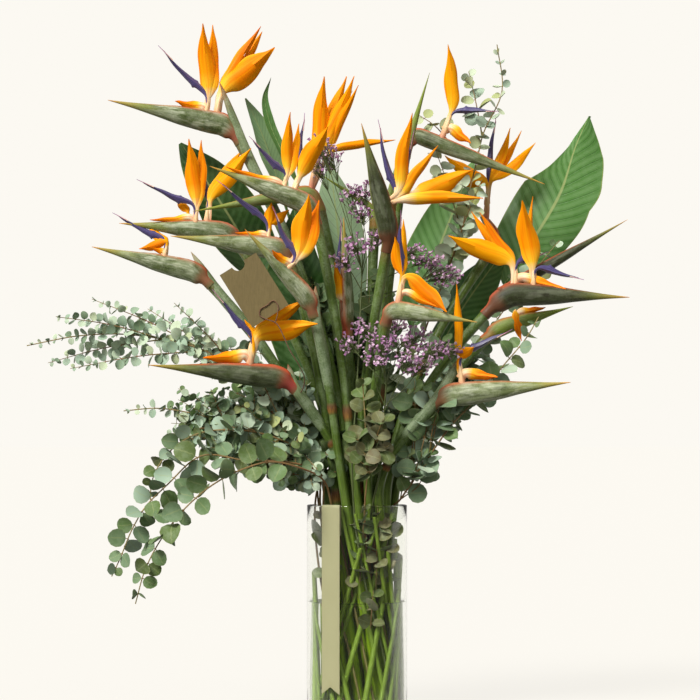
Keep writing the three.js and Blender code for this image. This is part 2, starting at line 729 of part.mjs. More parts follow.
// A stem of square section whose leaves grow from its two edges, all as one surface.
function leafyStem(points, startHalf, endHalf, breadths, skip, roll) {
  const path = straightPath(points);
  const length = path.getLength();
  const stations = path.getCurveLengths().map((distance) => ({ distance }));
  stations.unshift({ distance: 0 });
  const pairs = Math.max(Math.round(length * (1 - skip) / PAIR_SPACING), 1);
  for (let k = 0; k <= pairs; k++) {
    let distance = length * (skip + (1 - skip) * 0.97 * (k / pairs));
    while (stations.some((station) => Math.abs(station.distance - distance) < 4 * LEAF_ROOT)) distance -= LEAF_ROOT;
    stations.push({ distance: distance - LEAF_ROOT, pair: k }, { distance: distance + LEAF_ROOT });
  }
  stations.sort((one, two) => one.distance - two.distance);
  const spots = stations.map((station) => path.getPointAt(Math.min(station.distance / length, 1)));
  const stationFrames = frames(spots, BACK);
  const position = [];
  const index = [];
  const add = (p) => position.push(p.x, p.y, p.z) / 3 - 1;
  const corners = stationFrames.map((frame, i) => {
    const half = THREE.MathUtils.lerp(startHalf, endHalf, stations[i].distance / length);
    return ring(frame, half * Math.SQRT2, half * Math.SQRT2, 4).map(add);
  });
  const quad = (a, b, c, d) => index.push(a, b, c, a, c, d);
  const grow = (a, b, b2, a2, near, far) => {
    const top = near.map(add);
    const low = far.map(add);
    const last = top.length - 1;
    index.push(a2, a, top[0], b2, low[0], b);
    for (let j = 0; j < last; j++) {
      index.push(a2, top[j], top[j + 1], b2, low[j + 1], low[j]);
      quad(top[j], low[j], low[j + 1], top[j + 1]);
    }
    quad(a, b, low[0], top[0]);
    quad(top[last], low[last], b2, a2);
  };
  for (let i = 0; i < corners.length - 1; i++) {
    const [from, to] = [corners[i], corners[i + 1]];
    for (const s of [0, 1, 2, 3]) {
      const next = (s + 1) % 4;
      const sign = s === 1 ? -1 : 1;
      let leaf = null;
      if (s % 2 && stations[i].pair !== undefined) {
        const breadth = LEAF_GROWTH * THREE.MathUtils.lerp(breadths[0], breadths[1], stations[i].distance / length);
        const frame = { ...stationFrames[i], point: spots[i].clone().lerp(spots[i + 1], 0.5) };
        const lean = stations[i].pair % 2 ? 0.9 : 0.15;
        const tilts = [lean, -lean, lean + 0.5, -lean - 0.5, 0, 1.4].map((tilt) => tilt + 0.3 * (roll() - 0.5));
        leaf = tilts.map((tilt) => leafAt(frame, sign, tilt, breadth * (0.85 + 0.3 * roll())))
          .find((option) => clear(leafProbe(frame, option)));
      }
      if (leaf) {
        const half = ROUND_LEAF_THICKNESS / 2 * -sign;
        const near = leaf.outline.map((p) => p.clone().addScaledVector(leaf.normal, half));
        const far = leaf.outline.map((p) => p.clone().addScaledVector(leaf.normal, -half));
        grow(from[s], from[next], to[next], to[s], near, far);
      } else {
        quad(from[s], from[next], to[next], to[s]);
      }
    }
  }
  const [first, last] = [corners[0], corners[corners.length - 1]];
  quad(first[3], first[2], first[1], first[0]);
  quad(...last);
  const geometry = new THREE.BufferGeometry();
  geometry.setAttribute("position", new THREE.Float32BufferAttribute(position, 3));
  geometry.setIndex(index);
  return solidOf(geometry);
}

function eucalyptus(branch, seed) {
  const roll = dice(seed);
  const main = branch.main.map(at);
  const { foot, rim } = ruling(branch.waist);
  const stem = [foot, rim, ...main];
  const below = (foot.distanceTo(rim) + rim.distanceTo(main[0])) / straightPath(stem).getLength();
  const half = TWIG_RADIUS * 1.1;
  const pieces = [leafyStem(stem, half, half * 0.5, branch.leaf, below + 0.12, roll)];
  for (const [from, to] of branch.twigs) {
    const ends = [at(from), at(to)];
    const middle = ends[0].clone().lerp(ends[1], 0.5).addScaledVector(UP, 4);
    pieces.push(leafyStem([ends[0], middle, ends[1]], half * 0.5, half * 0.4, branch.leaf, 0.35, roll));
  }
  return joined(pieces);
}

// A head of sea lavender on its fine stalk: a spindle that widens from the stalk and closes again.
function lavenderHead(root, middle, head, pad) {
  const way = head.clone().sub(middle).normalize();
  const low = head.clone().addScaledVector(way, -LAVENDER_HEAD_RADIUS);
  const high = head.clone().addScaledVector(way, LAVENDER_HEAD_RADIUS);
  const radii = [0.8, 0.7, 0.7, LAVENDER_HEAD_RADIUS, 1.5];
  const slant = new THREE.Vector3(0.3, 1, 0.2).normalize();
  return loft(frames([root, middle, low, head, high], slant).map((frame, i) =>
    ring(frame, radii[i] + pad, radii[i] + pad, 3)));
}

function lavender(spray, seed) {
  const roll = dice(seed);
  const main = spray.main.map(at);
  const { foot, rim } = ruling(spray.waist);
  const pieces = [rod([foot, rim, ...main], TWIG_RADIUS * 1.2, TWIG_RADIUS * 0.8, TWIG_SIDES)];
  const path = straightPath(main);
  for (const spot of spray.heads) {
    for (let k = 0; k < LAVENDER_TRIES; k++) {
      const root = path.getPointAt(0.3 + 0.7 * roll());
      const head = at(spot).add(new THREE.Vector3(0, (roll() - 0.5) * k * 2, 0));
      const bend = new THREE.Vector3(roll() - 0.5, roll() - 0.5, roll() - 0.5).multiplyScalar(k * 2.5);
      const middle = root.clone().lerp(head, 0.5).add(bend);
      if (clear(lavenderHead(root, middle, head, GAP))) {
        pieces.push(lavenderHead(root, middle, head, 0));
        break;
      }
    }
  }
  return joined(pieces);
}

// The ribbon hooks over the rim and hangs down the glass to a swallowtail end.
function ribbon() {
  const outside = VASE_RADIUS + GAP;
  const outer = outside + RIBBON_THICKNESS;
  const inside = VASE_RADIUS - VASE_WALL - 1.8;
  const inner = inside - RIBBON_THICKNESS;
  const top = VASE_HEIGHT + GAP;
  const outline = new THREE.Shape([
    [outside, RIBBON_TAIL], [outer, RIBBON_TAIL], [outer, top + RIBBON_THICKNESS],
    [inner, top + RIBBON_THICKNESS], [inner, RIBBON_HOOK], [inside, RIBBON_HOOK], [inside, top], [outside, top],
  ].map(([x, y]) => new THREE.Vector2(x, y)));
  const strip = new THREE.ExtrudeGeometry(outline, { depth: RIBBON_WIDTH, bevelEnabled: false });
  strip.translate(0, 0, -RIBBON_WIDTH / 2);
  const wedge = new THREE.Shape([
    [-RIBBON_WIDTH / 2 - 1, RIBBON_TAIL - 2], [RIBBON_WIDTH / 2 + 1, RIBBON_TAIL - 2], [0, RIBBON_NOTCH],
  ].map(([x, y]) => new THREE.Vector2(x, y)));
  const notch = new THREE.ExtrudeGeometry(wedge, { depth: 10, bevelEnabled: false });
  notch.rotateY(Math.PI / 2);
  notch.translate(outside - 3, 0, 0);
  for (const geometry of [strip, notch]) {
    geometry.rotateX(Math.PI / 2);
    geometry.rotateZ(RIBBON_BEARING);
  }
  return solidOf(strip).subtract(solidOf(notch));
}

// The tag is a card with a thumb cut in the middle of its upper end.
function tag() {
  const half = TAG_WIDTH / 2;
  const outline = new THREE.Shape();
  outline.moveTo(-TAG_LENGTH / 2, -half);
  outline.lineTo(TAG_LENGTH / 2, -half);
  outline.lineTo(TAG_LENGTH / 2, half);
  outline.lineTo(-TAG_LENGTH / 2, half);
  outline.lineTo(-TAG_LENGTH / 2, TAG_THUMB_RADIUS);
  outline.absarc(-TAG_LENGTH / 2, 0, TAG_THUMB_RADIUS, Math.PI / 2, -Math.PI / 2, true);
  const card = new THREE.ExtrudeGeometry(outline, { depth: TAG_THICKNESS, bevelEnabled: false, curveSegments: 8 });
  card.rotateX(Math.PI / 2);
  card.rotateY(-TAG_TILT);
  card.translate(...TAG_CENTRE);
  return solidOf(card);
}

function twine() {
  const section = new THREE.Shape();
  section.absarc(0, 0, TWINE_RADIUS, 0, 2 * Math.PI);
  const route = new THREE.CatmullRomCurve3(TWINE.map(at));
  return solidOf(new THREE.ExtrudeGeometry(section, {
    steps: TWINE_STEPS, bevelEnabled: false, extrudePath: route, curveSegments: 4,
  }));
}

const stems = [];

for (const [name, flower] of Object.entries(FLOWERS)) {
  place("stalk_" + name, stalkAndSpathe(flower), COLOURS.stalk);
  stems.push({ waist: flower.waist, radius: STALK_RADIUS, sides: STALK_SIDES });
}
for (const [name, leaf] of Object.entries(LEAVES)) {
  place(name, bigLeaf(leaf), COLOURS.leaf);
  stems.push({ waist: leaf.waist, radius: PETIOLE_RADIUS, sides: PETIOLE_SIDES });
}
for (const [name, flower] of Object.entries(FLOWERS)) {
  if (flower.florets.length) place("florets_" + name, florets(flower, "stalk_" + name), COLOURS.orange);
}
place("vase", vase(), COLOURS.glass, { roughness: 0.05, transparent: true, opacity: 0.3 });
place("ribbon", ribbon(), COLOURS.ribbon, { roughness: 0.5 });
place("gift_tag", tag(), COLOURS.tag, { roughness: 0.5 });
place("tag_twine", twine(), COLOURS.twine);
Object.entries(BRANCHES).forEach(([name, branch], k) => {
  place(name, eucalyptus(branch, 101 + k), COLOURS.eucalyptus);
  stems.push({ waist: branch.waist, radius: TWIG_RADIUS * 1.6, sides: TWIG_SIDES });
});
Object.entries(LAVENDER).forEach(([name, spray], k) => {
  place(name, lavender(spray, 301 + k), COLOURS.lavender);
  stems.push({ waist: spray.waist, radius: TWIG_RADIUS * 1.2, sides: TWIG_SIDES });
});
place("water", water(stems), COLOURS.water, { roughness: 0.05, transparent: true, opacity: 0.4 });

export default arrangement;
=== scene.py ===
"""A hand-tied arrangement of bird of paradise flowers with big leaves, eucalyptus and sea lavender.

It stands in water in a clear glass cylinder, with a satin ribbon over the rim and a card tag on a twine.
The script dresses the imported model. Tables of places are in millimetres, +Z is up, -Y is the front,
and the origin is the middle of the vase's foot. Meshes are made in metres.
"""

import math

import bpy
import numpy as np
from bpy.props import FloatProperty, FloatVectorProperty, IntProperty, PointerProperty
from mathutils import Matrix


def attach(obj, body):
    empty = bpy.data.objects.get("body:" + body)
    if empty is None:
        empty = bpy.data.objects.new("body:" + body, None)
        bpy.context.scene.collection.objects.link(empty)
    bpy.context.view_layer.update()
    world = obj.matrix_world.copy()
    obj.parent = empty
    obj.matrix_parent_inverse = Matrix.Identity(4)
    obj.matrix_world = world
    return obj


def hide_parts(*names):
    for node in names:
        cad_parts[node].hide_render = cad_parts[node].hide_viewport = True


bl_info = {
    "name": "Bird of paradise arrangement",
    "version": (1, 0, 0),
    "blender": (4, 5, 0),
    "location": "View3D > Sidebar > Arrangement",
    "description": "Builds the flowers, leaves, vase and trimmings of a vase arrangement",
    "category": "Add Mesh",
}

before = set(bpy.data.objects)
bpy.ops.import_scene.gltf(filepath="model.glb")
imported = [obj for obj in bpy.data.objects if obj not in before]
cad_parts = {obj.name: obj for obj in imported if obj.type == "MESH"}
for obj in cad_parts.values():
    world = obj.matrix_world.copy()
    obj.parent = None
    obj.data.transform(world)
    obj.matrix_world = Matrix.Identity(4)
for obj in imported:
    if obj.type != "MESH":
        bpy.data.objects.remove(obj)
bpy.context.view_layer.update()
BODY = "root"
MM = 0.001
TAU = 2 * math.pi
BACK = np.array([0.0, 1.0, 0.0])
UP = np.array([0.0, 0.0, 1.0])

# The camera: where it stands, how far it looks up, its lens on a 36 mm sensor, and how far it sees
CAMERA_PLACE = (-0.0084, -3.120, 0.3276)
CAMERA_RISE = math.radians(1.98)
CAMERA_LENS = 133.7
CAMERA_SENSOR = 36
CAMERA_FAR = 1000

# Inside the vase every stem is straight, and turns round the axis between the rim and its cut end.
CUT_END = 16
STEM_TURN = math.radians(60)
BEND_SHARE = 0.35
ARRIVAL_LEAN = 1.7

# The ribbon: its room outside and inside the glass, its turn over the rim, its ends, and its waves
RIBBON_BEARING = math.radians(-121.6)
RIBBON_ROOM = 0.75
RIBBON_INNER_ROOM = 2.2
RIBBON_BEND = 1.5
RIBBON_TAIL = 28
RIBBON_NOTCH = 18
RIBBON_HOOK = 215
RIBBON_ROWS = 110
RIBBON_THICK = 0.4
RIBBON_WAVE = 0.12
RIBBON_RIPPLE = 9.0
RIBBON_CROSS = 2.4

# The glass and the water: rounded corners, the water's climb up the glass as its reach and lift, the
# radius of the flat middle that a fan closes, the number of faces round and of rows up a wall, and
# the tints of the light that passes straight through
FOOT_CORNER = 2
WELL_CORNER = 4
WATER_ROOM = 0.06
WATER_CLIMB = (2.4, 1.4)
POLE = 6
VASE_AROUND = 160
WALL_ROWS = 12
GLASS_CLEAR = (0.97, 0.98, 0.97, 1)
WATER_CLEAR = (0.97, 0.99, 0.95, 1)

# The stage, in metres: the floor lies a little below the vase's foot.
FLOOR_RADIUS = 120.0
FLOOR_GAP = 0.0002
FLOOR_AROUND = 96
KEY_SPREAD = math.radians(20)
KEY_COLOUR = (1.0, 0.98, 0.94)
KEY_TURN = (math.radians(48), 0, math.radians(-38))
SKY_KEY = (-0.45, -0.45, 0.77)

# Slots of the materials on the flower pieces and on the sprays
STALK, SPATHE, BRACT, CUFF = 0, 1, 2, 3
SEPAL, ARROW, FLORET_BASE, STIGMA = 0, 1, 2, 3
LEAF, PETIOLE = 0, 1
ROUND_LEAF, TWIG = 0, 1
LAVENDER_FLOWER, WIRY = 0, 1

# Sizes on the plants, in millimetres: how far a stalk's neck and a petal's claw reach, the depth of a
# second spathe, the radius of a floret's base, and the room of a lavender head to each side
NECK_REACH = 16
CLAW_REACH = 34
SECOND_DEPTH = 15
FLORET_RADIUS = 3.6
LAVENDER_ROOM = (15, 9, 10)

# Shapes, as shares of the way along against shares of the full size
SPATHE_DEPTHS = ([0, 0.08, 0.15, 0.23, 0.42, 0.66, 0.85, 1], [0.25, 0.58, 0.93, 1.0, 0.88, 0.5, 0.2, 0.02])
SPATHE_BREADTHS = ([0, 0.1, 0.22, 0.4, 0.6, 0.8, 1], [0.5, 0.8, 1.0, 0.94, 0.66, 0.34, 0.03])
SPATHE_GAP = ([0, 0.1, 0.17, 0.4, 0.6, 1], [0, 0, 1, 0.8, 0.15, 0])
NECK_FADE = ([0, 0.1, 0.3, 0.6, 1], [1.05, 0.97, 0.3, 0, 0])
PETAL_FULLNESS = 1.3
SEPAL_SHARES = ([0, 0.08, 0.24, 0.46, 0.74, 0.89, 1], [0.34, 0.62, 0.97, 1.0, 0.58, 0.22, 0.01])
ARROW_SHARES = ([0, 0.14, 0.24, 0.3, 0.35, 0.5, 0.75, 1], [0.24, 0.5, 0.62, 1.0, 0.74, 0.56, 0.28, 0.03])
LOW_SHARES = ([0, 0.25, 0.5, 0.78, 1], [0.8, 1.0, 0.8, 0.4, 0.02])
LEAF_SHARES = ([0, 0.1, 0.25, 0.45, 0.6, 0.75, 0.88, 0.95, 1],
               [0.06, 0.52, 0.9, 1, 0.92, 0.7, 0.38, 0.17, 0.02])
NODE_SHARES = np.array([0.12, 0.2, 0.4, 0.55])
CUFF_SHARE = 0.05
LEAF_ACROSS = np.array([1, 0.97, 0.9, 0.78, 0.64, 0.5, 0.36, 0.22, 0.12, 0.05, 0, -0.05, -0.12,
                        -0.22, -0.36, -0.5, -0.64, -0.78, -0.9, -0.97, -1])
LAVENDER_RISE = np.array([0.0, 0.55, 1.0, 0.8])
LAVENDER_RADII = np.array([0.1, 0.22, 0.5, 0.1])
FUNNEL_SIDE = np.array([0.3, 1.0, 0.2])
ROUND_LEAF_ALONG = np.array([0.0, 0.06, 0.25, 0.52, 0.78, 0.94, 1.0])
ROUND_LEAF_HALF = np.array([0.05, 0.5, 0.9, 1.0, 0.8, 0.42, 0.06])

# The number of rows along a piece, and of faces round it
STALK_ROWS, STALK_AROUND = 60, 14
SPATHE_ROWS, SPATHE_AROUND = 28, 30
BRACT_ROWS, PETAL_ROWS, LEAF_ROWS = 40, 56, 72
TWINE_ROWS, CORD_AROUND = 320, 12
SHARP_EDGE = math.radians(50)

# Patterns: a piece's tone shifts its fibres, and the card's run along its turned length
TONE_SHIFT = 40.0
CARD_TURN = math.radians(-57.9)
CARD_FIBRE = (900.0, 900.0, 120.0)
TWINE_TURNS = 34

# Where each group of plants starts its random draws
STEM_SEED, PETAL_SEED, LEAF_SEED, BRANCH_SEED, LAVENDER_SEED = 100, 200, 300, 400, 500

# Each flower: waist is where its stem passes the rim, neck is where the stalk meets the spathe.
# A sepal is the place of its tip, its breadth and its turn in degrees about its own length. An arrow
# is the place of its tip. Tone colours the spathe, from dark over dusty to fresh, and glow the sepals:
# it lightens them towards yellow, partly their own colour and partly painted light.
# Reach is how far before the neck the stalk ends, and depth the spathe's own depth. A sheath and a
# second spathe are the places of their tips, and low is a petal on the spathe: its tip and breadth.
FLOWERS = {
    "top_left": {"waist": [-10, 8], "tone": 0.6, "reach": 11, "neck": [-147, 28, 708],
        "tip": [-301, 10, 738], "sheath": [-167, 22, 762],
        "florets": [{"hub": [-179, 20, 743], "sepals": [[-187, 10, 831, 18, 5], [-175, 26, 832, 17, -8]],
        "arrow": [-234, 12, 798]},
        {"hub": [-165, 24, 750], "sepals": [[-117, 30, 831, 13, 10], [-116, 46, 827, 19, 5],
        [-100, 14, 803, 26, 0]], "arrow": [-131, 34, 806]}],
        "low": [-220, 12, 737, 14]},
    "upper_left": {"waist": [1, -33], "tone": 0.7, "neck": [-49, -35, 605], "tip": [-174, -55, 651],
        "florets": [{"hub": [-82, -42, 641], "sepals": [[-79, -50, 716, 13, 20], [-69, -34, 704, 12, -20]],
        "arrow": [-123, -52, 682]},
        {"hub": [-68, -38, 641], "sepals": [[-34, -50, 699, 20, 15]], "arrow": [-63, -34, 709]}],
        "low": [-155, -58, 650, 10]},
    "upper_mid": {"waist": [3, 4], "tone": 1.2, "glow": 0.6, "depth": 18, "neck": [-44, 26, 631],
        "tip": [-196, -26, 600],
        "florets": [{"hub": [-47, 20, 674], "sepals": [[-40, 12, 767, 18, 5], [-13, 32, 770, 18, 5],
        [-3, 16, 768, 16, -5]], "arrow": [-10, 24, 743]},
        {"hub": [-35, 26, 677], "sepals": [[2, 8, 756, 10, 15], [47, 36, 693, 10, 20]]}]},
    "upper_mid_bud": {"waist": [8, 18], "tone": 1.4, "depth": 9.5, "neck": [26, 55, 607],
        "tip": [-46, 50, 653], "florets": []},
    "left": {"waist": [-22, 2], "tone": 0.55, "neck": [-147, 15, 578], "tip": [-286, 0, 588],
        "florets": [{"hub": [-193, 6, 609], "sepals": [[-202, 0, 690, 17, 5], [-188, 14, 690, 14, -15]],
        "arrow": [-257, -4, 637]},
        {"hub": [-180, 14, 617], "sepals": [[-138, 26, 681, 12, 25], [-128, 10, 680, 18, -10]],
        "arrow": [-185, 22, 652]},
        {"hub": [-204, 14, 603], "sepals": [[-219, 20, 624, 10, 20]]}],
        "low": [-249, -2, 592, 9]},
    "far_left": {"waist": [-34, -6], "tone": 0.7, "neck": [-185, 0, 528], "tip": [-318, -10, 559],
        "sheath": [-200, 4, 554],
        "florets": [{"hub": [-227, -6, 566], "sepals": [[-261, -12, 556, 10, 0], [-252, 4, 585, 12, 30]],
        "arrow": [-287, 0, 597]}],
        "low": [-248, -8, 559, 8]},
    "left_mid": {"waist": [-24, -16], "tone": 0.8, "neck": [-80, -25, 555], "tip": [-222, -35, 570],
        "florets": [{"hub": [-104, -28, 585], "sepals": [[-102, -32, 610, 12, 0], [-81, -20, 602, 12, 0]],
        "arrow": [-160, -38, 631]}],
        "low": [-145, -34, 574, 9]},
    "centre_left": {"waist": [-13, -38], "tone": 0.8, "neck": [-53, -78, 489], "tip": [-131, -100, 573],
        "sheath": [-49, -76, 508],
        "florets": [{"hub": [-70, -92, 537], "sepals": [[-56, -98, 614, 22, 5], [-45, -84, 608, 19, -25]],
        "arrow": [-96, -100, 593]}],
        "low": [-99, -102, 548, 12]},
    "lower_left": {"waist": [-9, -23], "tone": 0.2, "neck": [-79, -58, 401], "tip": [-244, -84, 415],
        "sheath": [-82, -50, 417],
        "florets": [{"hub": [-122, -74, 447], "sepals": [[-60, -70, 494, 18, 10], [-46, -86, 463, 22, 0],
        [-132, -66, 469, 9, 0]], "arrow": [-165, -80, 498]}],
        "low": [-180, -84, 423, 16]},
    "centre": {"waist": [4, -17], "tone": 0.1, "glow": 0.45, "neck": [40, -62, 566], "tip": [5, -72, 700],
        "florets": [{"hub": [47, -62, 610], "sepals": [[65, -66, 713, 16, 25], [96, -50, 676, 12, 20],
        [148, -74, 611, 14, 10]], "arrow": [27, -66, 695]},
        {"hub": [52, -54, 615], "sepals": [], "arrow": [66, -50, 686]}]},
    "centre_back": {"waist": [20, -10], "tone": 1.4, "depth": 16, "neck": [39, -22, 608],
        "tip": [87, -22, 767],
        "florets": [{"hub": [66, -12, 620], "sepals": [[139, -8, 652, 22, 0]]}]},
    "top_right": {"waist": [19, 6], "tone": 0.35, "glow": 0.9, "depth": 21, "neck": [56, 10, 702],
        "tip": [225, -12, 634],
        "florets": [{"hub": [115, 4, 723], "sepals": [[110, 0, 804, 15.5, 0]], "arrow": [165, -2, 723]}],
        "low": [137, -8, 684, 14]},
    # The glow of 1.0 on right_back is painted light: its sepals stand in the shade of top_right's spathe and
    # the eucalyptus.
    "right_back": {"waist": [33, 4], "tone": 0.5, "glow": 1.0, "neck": [175, 50, 569],
        "tip": [144, 120, 627],
        "florets": [{"hub": [161, 48, 643], "sepals": [[188, 50, 709, 12, -30], [202, 62, 707, 9, -20],
        [218, 42, 690, 14, -30], [107, 38, 674, 17, 25], [113, 54, 651, 16, 30]], "arrow": [170, 56, 718]}]},
    "right": {"waist": [35, -15], "tone": 0.05, "reach": 28, "neck": [170, -30, 502], "tip": [322, -52, 496],
        "second": [325, -6, 592],
        "florets": [{"hub": [189, -34, 537], "sepals": [[146, -28, 599, 12, 20], [137, -12, 601, 14, 10],
        [108, -46, 569, 22, 0]], "arrow": [225, -14, 551]},
        {"hub": [210, -38, 532], "sepals": [[195, -48, 611, 22, 0], [210, -24, 618, 9, 30]],
        "arrow": [263, -40, 519]}],
        "low": [247, -46, 506, 14]},
    "right_low": {"waist": [44, 0], "tone": 1.3, "neck": [164, 12, 461], "tip": [260, 5, 488],
        "florets": [{"hub": [190, 6, 486], "sepals": [[197, -6, 446, 9, 0]]}],
        "low": [227, 4, 487, 10]},
    "centre_low": {"waist": [14, -27], "tone": 1, "neck": [32, -88, 482], "tip": [139, -108, 464],
        "florets": [{"hub": [53, -92, 520], "sepals": [[44, -100, 564, 14, 20], [54, -82, 586, 11, 10],
        [104, -112, 476, 17, 10]], "arrow": [51, -100, 587]}],
        "low": [96, -104, 481, 9]},
    "lower_right": {"waist": [26, -34], "tone": 0.85, "neck": [94, -55, 379], "tip": [250, -75, 395],
        "sheath": [124, -50, 427],
        "florets": [{"hub": [120, -60, 424], "sepals": [[117, -60, 511, 9, 0], [137, -68, 437, 11, 0]],
        "arrow": [176, -66, 454]}],
        "low": [165, -70, 401, 14]},
    "centre_small": {"waist": [-6, -7], "tone": 0.7, "neck": [-12, -15, 469], "tip": [-16, -22, 593],
        "florets": [{"hub": [-17, -24, 490], "sepals": [[-27, -34, 539, 10, 0]], "arrow": [-19, -14, 584]}]},
}

# Big "leaves": the spine from the petiole to the tip, the greatest breadth, the turn in degrees about
# the spine, and the tone from deep to pale green. Lean makes one half broader from below the tip on,
# fold is the half angle that the blade is bent by, and shares are its own outline.
LEAVES = {
    "leaf_pale_left": {"waist": [-28, 22], "spine": [[-88, 60, 616], [-116, 58, 701], [-136, 52, 746]],
        "breadth": 34, "turn": 35, "tone": 0.85},
    "leaf_thin_left": {"waist": [-16, 26], "spine": [[-72, 50, 640], [-92, 48, 680], [-107, 46, 716],
        [-112, 45, 748], [-105, 44, 770]], "breadth": 14, "turn": 25, "tone": 0.62},
    "leaf_dark_left": {"waist": [-38, 24], "spine": [[-109, 62, 511], [-144, 70, 580], [-216, 60, 692]],
        "breadth": 84, "turn": 20},
    "leaf_dark_mid": {"waist": [-26, 34], "spine": [[-47, 36, 376], [-66, 46, 470], [-76, 40, 612]],
        "breadth": 92, "turn": -10},
    "leaf_centre": {"waist": [0, 30], "spine": [[-15, 60, 462], [-21, 85, 560], [-33, 85, 671]],
        "breadth": 70, "turn": 25, "tone": 1.0},
    "leaf_centre_right": {"waist": [12, 34], "spine": [[67, 66, 462], [100, 92, 560], [145, 88, 673]],
        "breadth": 76, "turn": -15, "tone": 0.72},
    "leaf_low_right": {"waist": [24, 32], "spine": [[89, 50, 419], [130, 70, 490], [186, 72, 567]],
        "breadth": 60, "turn": 20, "tone": 0.5},
    "leaf_right": {"waist": [36, 26], "spine": [[182, 76, 518], [216, 81, 572], [252, 80, 634],
        [270, 70, 690], [285, 60, 725]], "breadth": 96, "turn": -12, "lean": (-0.08, 0.68), "fold": 0.35,
        "shares": ([0, 0.1, 0.25, 0.45, 0.6, 0.7, 0.8, 0.88, 0.95, 1], [0.06, 0.52, 0.9, 1, 0.88, 0.68, 0.5,
        0.34, 0.15, 0.01]), "tone": 0.7},
}

